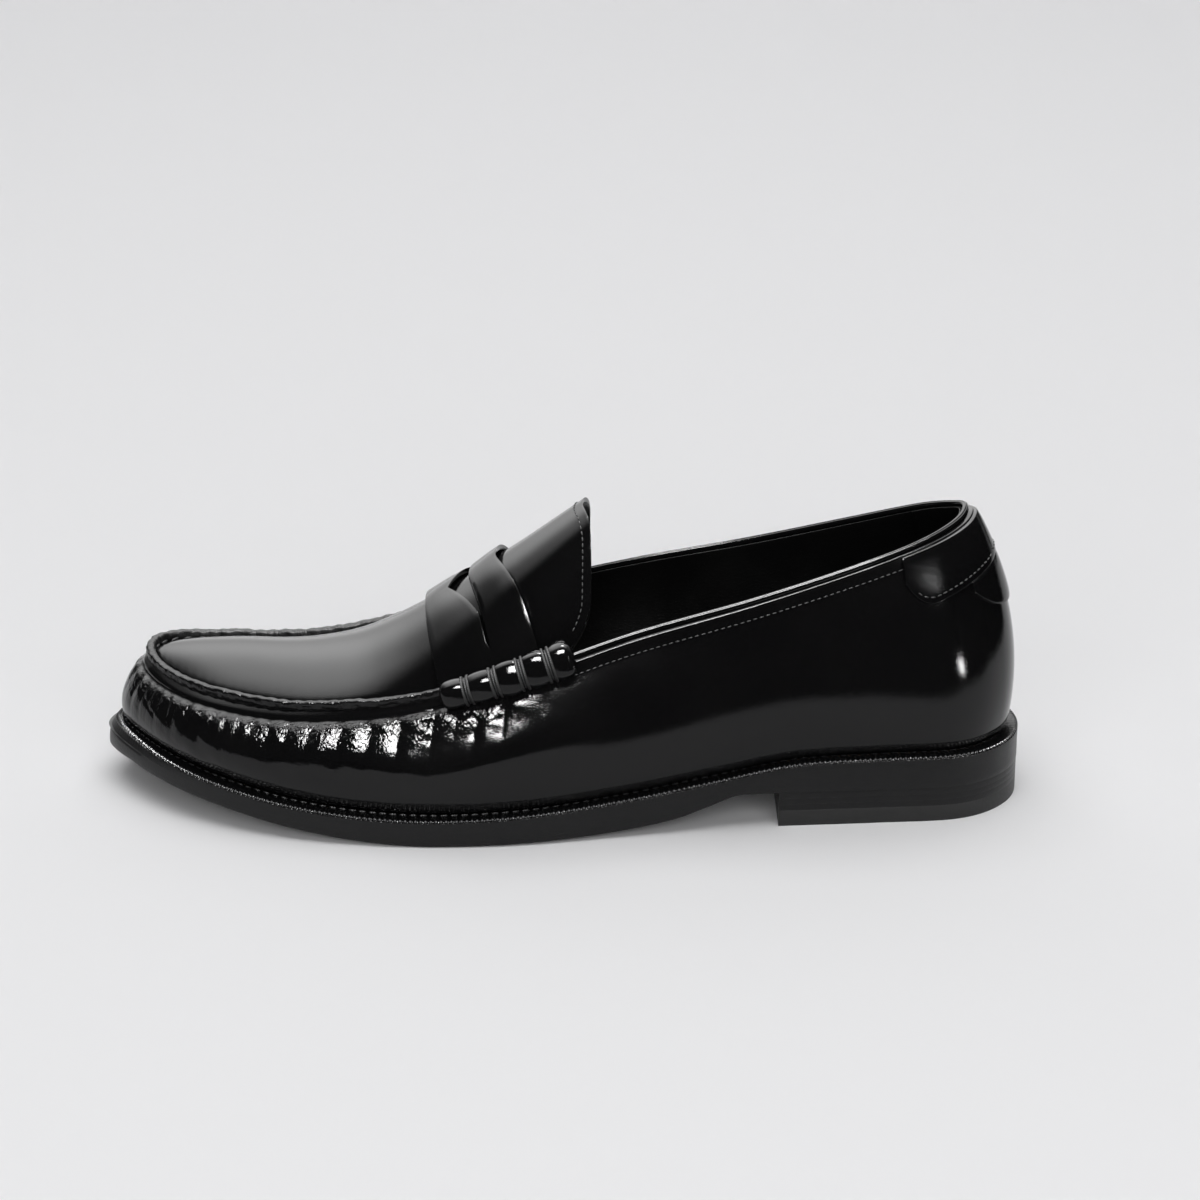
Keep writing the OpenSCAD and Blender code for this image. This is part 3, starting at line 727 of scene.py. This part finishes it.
def welt_stitching():
    s = edge_stations(1200)
    p = point(sole_edge(s, WELT_SEAM_INSET), welt_top(sole_edge(s)[:, 0]) - WELT_SHELF)
    return stitches("welt_stitching", [(p, np.tile([0.0, 0.0, 1.0], (len(s), 1)))],
                    2 * WHEEL_PITCH, 2.5, 0.62, 0.0, 0.03)


stands_for(welt_stitching(), "welt_thread")


def plate(name, n, profile, material, inset=0.0):
    """Plate with the sole's outline: profile is (share of the way to the middle, more inset, height)."""
    k = np.linspace(0, TOE, n // 2 + 1)
    s = np.concatenate([TOE - k, (TOE + k)[1:-1][::-1]]) % COUNT
    middle = (sole_edge(s, inset) + sole_edge((2 * TOE - s) % COUNT, inset)) / 2
    rings = []
    for share, more, z in profile:
        p = mix(sole_edge(s, inset + (more(s) if callable(more) else more)), middle, share)
        rings.append(point(p, z(p[:, 0])))
    return build(name, np.stack(rings, 1), grid_faces(len(s), len(rings), True), material)


def outsole():
    def low(x, up=0.0):
        return sole_bottom(x) + up

    def high(x, down=0.0):
        return welt_top(x) - WELT_T - down

    def wear_and_glint(x):
        """The lower corner is rounded, except where the heel is built onto it."""
        return ramp(x, 50, 60, 1, 0.1)

    flank = [(0, lambda s, t=t: toe_lean(s, 0.5 * t),
              lambda x, t=t: mix(low(x, 0.7 * wear_and_glint(x)), high(x, 0.02), t)) for t in np.linspace(0, 1, 5)]
    profile = ([(share, 0, lambda x: low(x, 0.03)) for share in (1.0, 0.75, 0.5, 0.25, 0.1)]
               + [(0, 2.2, lambda x: low(x, 0.03)),
                  (0, lambda s: 0.7 * wear_and_glint(sole_edge(s)[:, 0]), lambda x: low(x, 0.05)),
                  (0, lambda s: 0.2 * wear_and_glint(sole_edge(s)[:, 0]), lambda x: low(x, 0.3 * wear_and_glint(x)))]
               + flank + [(0, lambda s: 0.05 + toe_lean(s, 0.5), high)]
               + [(share, 0, high) for share in (0.1, 0.4, 0.7, 1.0)])
    piece = plate("outsole_with_dressed_edge", 700, profile, sole_leather)
    piece.data.set_sharp_from_angle(angle=SHARP_EDGE)
    return piece


stands_for(outsole(), "outsole")


def sock():
    def at(z):
        return lambda x: welt_top(x) + z
    profile = [(1, 0, at(2.2)), (0.5, 0, at(2.2)), (0, 0.1, at(2.2)), (0, 0, at(2.6)), (0, 0.1, at(3.3)),
               (0, 0.6, at(3.45)), (0.2, 0, at(3.2)), (0.5, 0, at(3.0)), (0.8, 0, at(2.9)), (1, 0, at(2.9))]
    return plate("sock_liner_leather", 400, profile, lining_leather, inset=7.4)


stands_for(sock(), "sock_liner")


HEEL_INSET = 0.1


def heel_layer(name, node, z0, z1, material, edge):
    """Layer of the heel: round the back, and straight across at the breast."""
    outline = sole_edge(np.linspace(-6, 6, 2400), HEEL_INSET)
    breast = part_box("heel_top_piece")[0].x / MM
    outline = outline[outline[:, 0] > breast][::4]
    outline = np.concatenate([[[breast, outline[0, 1]]], outline, [[breast, outline[-1, 1]]]])
    n = len(outline)
    verts = np.concatenate([point(outline, z0), point(outline, z1)])
    faces = [tuple(range(n)), tuple(range(2 * n - 1, n - 1, -1))]
    faces += [(k, n + k, n + (k + 1) % n, (k + 1) % n) for k in range(n)]
    piece = rounded(build(name, verts, faces, material), edge)
    piece.data.set_sharp_from_angle(angle=math.radians(40))
    stands_for(piece, node)


heel_layer("heel_top_piece_rubber", "heel_top_piece", 0, TOP_PIECE_T, heel_rubber, 0.03)
lift_t = (HEEL_HEIGHT - TOP_PIECE_T) / LIFTS
for k in range(LIFTS):
    heel_layer(f"heel_lift_leather_{k + 1}", f"heel_lift_{k + 1}", TOP_PIECE_T + k * lift_t,
               TOP_PIECE_T + (k + 1) * lift_t, sole_leather, 0.015)

# ---- side of the upper ----

SEAM_END = 4.42  # stations from the toe to the end of the raised seam
UNDER_BINDING = 0.9  # the side ends this far below the topline


def over_front(s):
    """1 where the raised seam runs, 0 under the topline."""
    return ramp(from_toe(s), SEAM_END - 0.05, SEAM_END + 0.2, 1, 0)


seam_s = np.linspace(TOE - 5.4, TOE + 5.4, 3000)
seam_run = lengths(rail(seam_s, 0.0))
seam_run -= np.interp(TOE, seam_s, seam_run)


def along_seam(s):
    return np.interp(s, seam_s, seam_run)


# Gathers: close together at the toe, wider apart towards the rolls
pleat_rng = np.random.default_rng(SEED)
pleat_at = [0.0]
while pleat_at[-1] < 230:
    room = mix(4.2, 8.6, float(smooth(pleat_at[-1], 20, 120)))
    pleat_at.append(pleat_at[-1] + room * pleat_rng.uniform(0.65, 1.4))
pleat_at = np.array([-q for q in pleat_at[:0:-1]] + pleat_at) + 1.3
pleat_size = pleat_rng.uniform(0.45, 1.3, len(pleat_at))
pleat_long = pleat_rng.uniform(0.7, 1.35, len(pleat_at))


def fall(t, reach):
    """1 down to t = 0, dying away below."""
    return np.exp(-np.clip(t, 0, 40) / reach)


def pleats(s, t):
    """How far the gathers stand out at station s, t below the foot of the raised seam."""
    run, away = along_seam(s), from_toe(s)
    a = run + 0.10 * np.clip(t, 0, 20) * wander(run, 26, 3) + 0.35 * wander(3.0 * t + run, 4.0, 8)
    i = np.clip(np.searchsorted(pleat_at, a), 1, len(pleat_at) - 1)
    share = (a - pleat_at[i - 1]) / (pleat_at[i] - pleat_at[i - 1])
    full = np.sin(math.pi * np.clip(share, 0, 1)) ** 0.8
    wide = (pleat_at[i] - pleat_at[i - 1]) / 6
    reach = 5.4 * pleat_long[i] * np.clip(wide, 0.8, 1.5)
    fade = smooth(t, -0.4, 1.2) * np.exp(-np.clip(t - 1.0, 0, 40) ** 1.5 / reach ** 1.5)
    strong = ramp(away, 4.95, 5.25, 1, 0.0) * ramp(away, 0.0, 1.3, 0.75, 1.0)
    crumple = (0.35 * wander(a + 0.8 * t, 5.5, 16) * smooth(t, 0, 3) * fall(t - 3, 7)
               + 0.26 * wander(a + 2.1 * t, 2.6, 6) * smooth(t, -1, 1) * fall(t - 1, 4))
    under_roll = smooth(away, 3.4, 4.4)
    belly = (mix(1.1, 2.1, under_roll) * smooth(away, 1.6, 3.2) * (1 + 0.15 * wander(run, 11, 9))
             * bump(t, mix(8.0 + 1.6 * wander(run, 8, 12), 18.0, under_roll), mix(5.2, 7.5, under_roll)))
    folds = fade * pleat_size[i] * np.clip(wide, 0.7, 1.35) * (1.5 * full - 0.85) + crumple
    return strong * folds + belly * smooth(away, 6.0, 4.6)


def drawn(s, t):
    """Where the leather is drawn into fine creases: the gathers and the raised seam itself."""
    return ramp(from_toe(s), 4.5, 5.1, 1, 0) * smooth(t, -0.5, 2.0) * fall(t - 2, 4.0)


FOLD = 2.5  # the gathers start this far below the top of the side
WALL_ROWS = 50
# Section of the raised seam from its foot outside over its top and down inside: out, up
LIP = [(0.05, 0.5), (0.32, 1.2), (0.44, 1.9), (0.40, 2.6), (0.2, 3.15), (-0.2, 3.4), (-0.9, 3.46),
       (-1.6, 3.38), (-2.1, 3.1), (-2.3, 2.6), (-2.35, 1.7), (-2.35, 0.6)]


def wall_face(s, rows):
    """Outer face of the side up to the foot of the lip, rows of points from welt to seam."""
    k = np.linspace(1, 0, rows)[None, :] ** 1.45
    s = s[:, None]
    front = over_front(s)
    stop = mix(UNDER_BINDING, -0.2, front)
    t = mix(stop, tallness(s), k)
    curl = 1.1 * np.exp(-((tallness(s) - t) / 1.1))
    swell = pleats(s, t - FOLD) * np.maximum(front, smooth(t, 5, 9)) - curl
    groove = 0.75 * bump(t, FOLD, 0.75) * front
    hide = 0.05 * wander(along_seam(s) + 0 * t, 17, 5) * smooth(t, 2, 12)
    collar = mix(0.25, 1.0, smooth(from_toe(s), 7.6, 5.3)) * (1 - front)
    swell = swell + collar * (0.55 - 1.45 * smooth(t, 0.6, 5.2) + 0.9 * smooth(t, 5.2, 22))
    return side(s, drop(s, t), -(swell - groove + hide)), t


def upper_wall():
    s = np.linspace(0, COUNT, COUNT * 36, endpoint=False)
    outer, t = wall_face(s, WALL_ROWS)
    n, front, run = point(outward(s), 0), over_front(s), along_seam(s)
    base, rear = side(s, 1.0), side(s, drop(s, UNDER_BINDING))
    pinch = 0.5 + 0.5 * np.cos(run / SEAM_PITCH * 2 * math.pi)
    rows = []
    for q, (out, up) in enumerate(LIP):
        rough = 0.30 * wander(run + 2.1 * q, 1.3, 11 + q) + 0.14 * wander(run, 4.1, 40 + q // 3)
        out_q = out + (rough - 0.28 * pinch * bump(up, 1.2, 1.3)) * (1 if q < 8 else 0.6)
        up_q = (up * (1 + 0.05 * wander(run, 9, 60))
                + (0.12 * wander(run, 2.3, 70) - 0.2 * pinch) * smooth(up, 1, 3.2))
        lip = base + out_q[:, None] * n + up_q[:, None] * [0, 0, 1]
        flat = rear + (-WALL_T * min(1, q / 7)) * n + [0, 0, 0.15]
        rows.append(mix(flat, lip, front[:, None]))
    inner = [side(s, drop(s, mix(mix(UNDER_BINDING, 0, front), tallness(s), f)), WALL_T + 0.1)
             for f in np.linspace(0.03, 1, 9)]
    rings = np.concatenate([outer, np.stack(rows, 1), np.stack(inner, 1)], 1)
    piece = loft("gathered_side", rings, upper_leather, closed=True)
    creased, raw = np.zeros(rings.shape[:2]), np.zeros(rings.shape[:2])
    lip_foot, lip_end = WALL_ROWS + 5, WALL_ROWS + len(LIP)
    creased[:, :WALL_ROWS] = drawn(s[:, None], t - FOLD)
    creased[:, WALL_ROWS:lip_end] = 0.8 * front[:, None]
    raw[:, WALL_ROWS:lip_foot] = 0.35 * front[:, None]
    raw[:, lip_foot:lip_end] = front[:, None]
    paint(piece, "drawn", rings, creased)
    paint(piece, "raw_edge", rings, raw)
    return piece


stands_for(upper_wall(), "moccasin_wall")


def lining_band(name, node, reach, low, depth, thick, n=260, rows=24):
    s = np.linspace(-reach, reach, n)[:, None]
    t = np.linspace(0, 1, rows)[None, :]
    h = mix(low, drop(s, 1.2), t)
    soft = 0.25 * wander(s * 30 + 0 * t, 31, 21) * wander(h * 60 + 0 * s, 23, 22)
    front = side(s, h, depth + thick + soft)
    back = side(s, h, depth + soft)
    stands_for(slab(name, front, back, lining_leather, 0.25), node)


lining_band("quarter_lining_leather", "quarter_lining", 5.95, 0.03, LINING_D, LINING_T)
lining_band("heel_grip_suede", "heel_grip", 2.1, 0.35, LINING_D + LINING_T + 0.1, 0.55, 120, 20)

# ---- apron ----

APRON_INSET = 2.3


def strap_front(v):
    return 0.853 + 0.03 * off_middle(v) ** 2


def strap_rear(v):
    e = off_middle(v)
    return 0.985 + np.where(v < 0.5, 0.085 * e ** 1.4, 0.06 * e ** 1.8)


def apron_rib(t, v):
    return np.where(t < 0.5, t, mix(0.5, strap_rear(v) - 0.02, 2 * t - 1))


def apron():
    t = (np.linspace(0.05, 1, 190) ** 1.7)[:, None]
    v = 0.5 - 0.5 * np.cos(np.linspace(0, math.pi, 90))[None, :]
    u = apron_rib(t, v)
    top = instep(u, v, 0.0, APRON_INSET)
    edge = np.minimum(np.linalg.norm(top - instep(u, 0 * v, 0.0, APRON_INSET), axis=-1),
                      np.linalg.norm(top - instep(u, 0 * v + 1, 0.0, APRON_INSET), axis=-1))
    near = np.where(v < 0.5, TOE - RAIL_SPAN * u, TOE + RAIL_SPAN * u)
    pinch = 0.5 + 0.5 * np.cos(along_seam(near) / SEAM_PITCH * 2 * math.pi)
    rise = 0.55 * np.exp(-edge / 1.3) - 0.35 * pinch * np.exp(-edge / 1.9) - 0.25 * bump(edge, 2.2, 1.4)
    lift = rise * smooth(u, 0.0, 0.02)
    top = instep(u, v, lift, APRON_INSET)
    return slab("apron_leather", top, instep(u, v, -APRON_T, APRON_INSET), panel_leather)


stands_for(apron(), "apron")


def seam_stitching():
    runs = []
    for hand in (-1, 1):
        u = np.linspace(0.03, 0.855, 300)
        v = 0.012 if hand < 0 else 0.988
        p = instep(u, v, 0.62, APRON_INSET)
        n = point(outward(TOE + hand * RAIL_SPAN * u), 0)
        runs.append((p, unit(-0.75 * n + [0, 0, 1.0])))
    return stitches("hand_stitching", runs, SEAM_PITCH, 3.3, 0.95, 0.16, 0.12)


stands_for(seam_stitching(), "moc_seam_thread")

# ---- saddle strap ----

SLOT_REACH = 0.84  # how far the slot reaches to both sides of the middle


def slot_rear(v):
    e = off_middle(v)
    return 0.935 + np.where(v < 0.5, 0.05 * e ** 1.4, 0.04 * e ** 1.6)


def slot_width(v):
    e = off_middle(v)
    ends = np.sqrt(1 - ramp(e, SLOT_REACH - 0.05, SLOT_REACH) ** 2)
    return np.maximum(0.039 - 0.058 * e, 0.0055) * ends


def saddle_strap():
    v = np.linspace(0.0, 1.0, 221)
    e = off_middle(v)
    rear = slot_rear(v)
    fore = rear - slot_width(v)
    band = np.linspace(0, 1, 10)
    us = np.concatenate([mix(strap_front(v)[:, None], fore[:, None], band[None, :]),
                         mix(rear[:, None], strap_rear(v)[:, None], band[None, :])], 1)
    stand = 0.5 + (0.1 + 0.6 * smooth(us, 0.95, 1.0)) * (1 - e[:, None] ** 2) - 0.5 * e[:, None] ** 2
    soft = 0.35 * np.sin(math.pi * np.tile(band, 2))[None, :]
    vv = np.broadcast_to(v[:, None], us.shape)
    under = instep(us, vv, stand, 0.0)
    over = instep(us, vv, stand + STRAP_T + soft, 0.0)
    holes = np.zeros((len(v) - 1, us.shape[1] - 1), bool)
    holes[:, 9] = (e[:-1] < SLOT_REACH) & (e[1:] < SLOT_REACH)
    return slab("saddle_strap_leather", over, under, panel_leather, 0.18, holes)


stands_for(saddle_strap(), "saddle_strap")

# ---- beef rolls ----

ROLL_OUT, ROLL_UP, ROLL_CLEAR = 4.1, (4.6, 6.4), -0.4


def square_to(centre, s, step):
    """Directions across and up, square to the path that centre gives."""
    along = unit(centre(s + step) - centre(s - step))
    across = unit(np.cross(along, [0, 0, 1.0]))
    return across, np.cross(across, along)


def roll_centre(t, hand):
    s = TOE + hand * mix(4.24, 5.42, t)
    r, n = station(s), outward(s)
    return point(r[..., 2:4] + (ROLL_OUT + ROLL_CLEAR) * n, r[..., 4] + mix(1.7, 2.2, t))


def roll_section(t, hand, grow, sides=40):
    """Rings round the roll at shares t of its length: full in each bulge, pulled in at the thread."""
    t = np.asarray(t, float)
    c = roll_centre(t, hand)
    across, up = square_to(lambda q: roll_centre(q, hand), t, 0.01)
    lean = -hand * math.radians(22)  # the top of the roll leans in
    across, up = (across * math.cos(lean) + up * math.sin(lean),
                  up * math.cos(lean) - across * math.sin(lean))
    f = np.abs(np.sin(math.pi * ROLL_BULGES * t)) ** 0.42
    ends = np.sqrt(np.clip(1 - np.abs(2 * t - 1) ** 26, 0.12, 1))
    out = ROLL_OUT * mix(0.70, 1.0, f) * ends + grow
    tall = mix(*ROLL_UP, t) * mix(0.74, 1.0, f) * ends + grow
    a = np.linspace(0, 2 * math.pi, sides, endpoint=False)
    ring = c[:, None] + (np.cos(a)[None, :, None] * out[:, None, None] * across[:, None]
                         + np.sin(a)[None, :, None] * tall[:, None, None] * up[:, None])
    return ring, a, f


def beef_roll(side_name, hand):
    t = np.linspace(0, 1, 26 * ROLL_BULGES + 1)
    ring, a, f = roll_section(t, hand, 0.0)
    c = roll_centre(t, hand)[:, None]
    which = np.floor(t * ROLL_BULGES)[:, None]
    fold = (1 + 0.03 * np.sin(2 * a[None, :] + which * 2.1) * f[:, None]
            + 0.018 * np.sin(5 * a[None, :] + which * 1.3))
    ring = c + (ring - c) * fold[..., None]
    piece = loft(f"beef_roll_{side_name}_leather", ring, rolled_leather)
    stands_for(piece, f"beef_roll_{side_name}")
    loops = []
    for k in range(1, ROLL_BULGES):
        for strand in (-1, 0, 1):
            at = k / ROLL_BULGES + strand * 0.021
            loops.append(roll_section([at], hand, 0.12 - 0.1 * abs(strand), 44)[0][0])
    thread = wound(f"beef_roll_{side_name}_thread", loops, 0.48)
    stands_for(thread, f"roll_thread_{side_name}")


beef_roll("near", -1)
beef_roll("far", 1)

# ---- tongue ----

TONGUE_INSET = LINING_D + LINING_T + 0.6


def tongue_end(v):
    e = off_middle(v)
    return 1.157 + 0.016 * smooth(e, 0, 0.55) - 0.055 * np.clip((e - 0.82) / 0.18, 0, 1) ** 2.2


def with_tongue(piece, node):
    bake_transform(piece)
    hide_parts(node)


def tongue_layer(name, lift, thick, trim, material, edge):
    v = np.linspace(0.01 + trim, 0.99 - trim, 90)[:, None]
    t = np.linspace(0, 1, 60)[None, :]
    u = mix(strap_rear(v) - 0.035, tongue_end(v) - trim * 0.12, t)
    return slab(name, instep(u, v, lift, TONGUE_INSET), instep(u, v, lift - thick, TONGUE_INSET),
                material, edge)


with_tongue(tongue_layer("tongue_leather", -0.05, APRON_T - 0.3, 0, panel_leather, 0.42),
            "tongue")
with_tongue(tongue_layer("tongue_lining_leather", -0.05 - APRON_T + 0.25, 0.9, 0.004, lining_leather, 0.25),
            "tongue_lining")


def tongue_stitching():
    v = np.linspace(0.035, 0.965, 260)
    u = tongue_end(v) - 0.0165 - 0.006 * off_middle(v) ** 6
    p = instep(u, v, 0.06, TONGUE_INSET)
    du = instep(u + 0.004, v, 0.06, TONGUE_INSET) - instep(u - 0.004, v, 0.06, TONGUE_INSET)
    dv = np.gradient(p, axis=0)
    facing = unit(np.cross(du, dv))
    facing *= np.sign(facing[:, 2:3])
    return stitches("tongue_stitching", [(p, facing)], 2.1, 1.55, 0.5, 0.0, 0.04)


with_tongue(tongue_stitching(), "tongue_thread")

# ---- topline and heel trim ----

BINDING_REACH = 5.62


def binding_centre(s):
    r, n = station(s), outward(s)
    return point(r[..., 2:4] - (LINING_D + LINING_T) / 2 * n, r[..., 4] - 0.1)


def topline_binding():
    s = np.linspace(-BINDING_REACH, BINDING_REACH, 420)
    c = binding_centre(s)
    across, up = square_to(binding_centre, s, 0.02)
    a = np.linspace(0, 2 * math.pi, 36, endpoint=False)
    # a fine groove runs along the roll where the binding turns over the edge
    r = BINDING_R * (1 - 0.22 * bump(a, math.radians(62), 0.16) - 0.22 * bump(a, math.radians(118), 0.16))
    uneven = 1 + 0.02 * wander(s * 30, 9, 81)
    ring = c[:, None] + uneven[:, None, None] * ((r * np.cos(a))[None, :, None] * across[:, None]
                                                 + (r * np.sin(a))[None, :, None] * up[:, None])
    return loft("topline_binding_leather", ring, rolled_leather)


stands_for(topline_binding(), "topline_binding")


STITCH_DROP = 4.6


def topline_run(s):
    return side(s, drop(s, STITCH_DROP), -0.02), point(outward(s), 0)


stands_for(stitches("topline_stitching", [topline_run(np.linspace(2.5, 5.7, 300)),
                                          topline_run(np.linspace(-5.7, -2.5, 300))], 2.1, 1.5, 0.45),
           "topline_thread")

TAB_REACH, FLAP_REACH, TAB_T = 2.5, 1.45, 1.1


def tab_low(s):
    return (0.755 + 0.05 * (1 - (s / 2) ** 2)
            + 0.14 * np.clip((np.abs(s) - 2.05) / 0.45, 0, 1) ** 2.4)


def flap_low(s):
    return 0.6 + 0.13 * (np.abs(s) / FLAP_REACH) ** 3


def heel_patch(name, node, reach, low, high, out, n):
    s = np.linspace(-reach, reach, n)[:, None]
    t = np.linspace(0, 1, 26)[None, :]
    h = mix(low(s), high(s), t)
    crown = 0.25 * (1 - (2 * t - 1) ** 6)
    stands_for(slab(name, side(s, h, -out - TAB_T - crown), side(s, h, 0.2), panel_leather, 0.35),
               node)


heel_patch("heel_tab_leather", "heel_tab", TAB_REACH, tab_low, lambda s: drop(s, 1.2), 0.1, 170)
heel_patch("heel_flap_leather", "heel_tab_flap", FLAP_REACH, flap_low, lambda s: tab_low(s) - 0.003,
           -0.1, 120)


def tab_stitching():
    s = np.linspace(-2.36, 2.36, 300)
    h = tab_low(s) + 0.028
    return stitches("heel_tab_stitching", [(side(s, h, -TAB_T - 0.38), point(outward(s), 0))],
                    2.2, 1.6, 0.5)


stands_for(tab_stitching(), "heel_tab_thread")

# ---- hidden pieces keep their own shape ----

for node, material in {
        "bottom_filler": cork, "shank": spring_steel, "insole": board_leather,
        "heel_nails": spring_steel, "top_piece_brads": brad_brass, "toe_puff": board_leather,
        "heel_counter": board_leather, "vamp_lining": lining_leather,
        "apron_lining": lining_leather}.items():
    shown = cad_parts[node]
    shown.data.materials.clear()
    shown.data.materials.append(material)

# ---- floor, light and camera ----


def studio_sheet(name, rows, colour):
    """Sheet of the studio through rows of points, without any gloss of its own."""
    n, m = len(rows), len(rows[0])
    mesh = bpy.data.meshes.new(name)
    mesh.from_pydata([p for row in rows for p in row], [], grid_faces(n, m))
    sheet = show(name, mesh)
    material, shader = new_material(name + "_surface")
    set_inputs(shader, {"Base Color": (*colour, 1), "Specular IOR Level": 0})
    mesh.materials.append(material)
    return sheet, shader


SWEEP_Y, SWEEP_R, SWEEP_TOP = 2.2, 0.7, 3.2
turn = np.linspace(0, math.pi / 2, 16)
profile = ([(-3.5, 0.0), (SWEEP_Y - SWEEP_R, 0.0)]
           + [(SWEEP_Y - SWEEP_R + SWEEP_R * math.sin(a), SWEEP_R - SWEEP_R * math.cos(a)) for a in turn]
           + [(SWEEP_Y, SWEEP_TOP)])
sweep, paper = studio_sheet("paper_sweep", [[(x, y, z) for x in np.linspace(-3.5, 3.5, 8)]
                                            for y, z in profile], (0.86, 0.86, 0.87))
sweep.data.shade_smooth()
set_inputs(paper, {"Roughness": 0.7})


def softbox(name, place, target, width, tall, watts):
    data = bpy.data.lights.new(name, "AREA")
    data.shape, data.size, data.size_y = "RECTANGLE", width, tall
    data.energy = watts
    lamp = show(name, data)
    lamp.location = place
    lamp.rotation_euler = (Vector(target) - Vector(place)).to_track_quat("-Z", "Y").to_euler()
    return lamp


def spot_lamp(name, place, target, width, tall, brightness):
    """Softbox that only shows as a highlight."""
    lamp = softbox(name, place, target, width, tall, brightness * math.pi * width * tall)
    lamp.visible_camera = lamp.visible_diffuse = False
    return lamp


sky = softbox("sky_panel", (0, 0.2, 3.0), (0, 0.2, 0), 3.4, 3.4, 80)
fill = softbox("front_fill", (0, -2.2, 1.0), (0, 0, 0.05), 3.0, 1.6, 34)
for lamp in (sky, fill):
    lamp.visible_glossy = lamp.visible_camera = False
spot_lamp("long_strip", (-0.03, -0.63, 1.12), (-0.03, 0, 0.04), 0.56, 0.40, 75)
spot_lamp("heel_box", (0.72, -0.68, 0.52), (0.117, -0.021, 0.082), 0.05, 0.11, 200)
spot_lamp("roll_strip", (0.03, 0.27, 1.01), (-0.015, -0.035, 0.05), 0.22, 0.15, 75)
spot_lamp("heel_spark", (0.210, -0.083, 0.039), (0.128, -0.026, 0.0515), 0.007, 0.014, 75)


def card(name, rows, colour):
    """Studio card that only shows as a reflection."""
    sheet, shader = studio_sheet(name, rows, colour)
    sheet.visible_camera = sheet.visible_diffuse = sheet.visible_shadow = False
    sheet.visible_transmission = False
    return sheet, shader


CARD_HEIGHT = 0.16
card_line = [(-1.6, -0.75), (-0.15, -0.45), (0.0, -0.22), (0.06, -0.15), (0.12, -0.12), (0.17, -0.115),
             (0.26, -0.11), (0.40, 0.0), (0.45, 0.2)]
card("dark_card", [[(x, y, z) for x, y in card_line] for z in (0, CARD_HEIGHT)], (0.004, 0.004, 0.004))

# Pale panel behind and overhead, brightest high up, fading at its ends
WASH_R = 1.3
rise, across = np.linspace(0.5, 100, 50), np.linspace(-1.6, 1.6, 41)
panel, glow = card("pale_wash", [[(x, WASH_R * math.cos(e), WASH_R * math.sin(e)) for x in across]
                                 for e in np.radians(rise)], (0, 0, 0))
e, x = rise[:, None], across[None, :]
shine = ((1.4 + 3.9 * smooth(e, 12, 52)) * (1 - smooth(e, 74, 99))
         * (1 - 0.9 * smooth(-x, 0.55, 1.35)) * (1 - 0.9 * smooth(x, 0.3, 1.0)))
layer = panel.data.attributes.new("shine", "FLOAT", "POINT")
layer.data.foreach_set("value", shine.ravel().astype(np.float32))
set_inputs(glow, {"Emission Color": (1, 1, 1, 1)})
wire(glow.id_data, (painted(glow, "shine"), "Fac", glow, "Emission Strength"))

world = bpy.data.worlds.new("studio")
world.use_nodes = True
bpy.context.scene.world = world
tree = world.node_tree
tree.nodes.clear()
room = add(tree, "ShaderNodeBackground", {"Color": (0.012, 0.012, 0.013, 1)})
pale = add(tree, "ShaderNodeBackground", {"Color": (0.84, 0.83, 0.85, 1)})
which = add(tree, "ShaderNodeLightPath")
choose = add(tree, "ShaderNodeMixShader")
wire(tree, (which, "Is Camera Ray", choose, 0), (room, 0, choose, 1), (pale, 0, choose, 2),
     (choose, 0, add(tree, "ShaderNodeOutputWorld"), "Surface"))
bpy.context.scene.view_settings.view_transform = "Standard"

camera_data = bpy.data.cameras.new("camera")
camera_data.lens, camera_data.sensor_width = 96.3, 36
camera_data.clip_start = 0.05
camera = show("camera", camera_data)
camera.location = (0.0129, -0.9755, 0.4198)
camera.rotation_euler = (math.radians(70), 0, 0)
bpy.context.scene.camera = camera
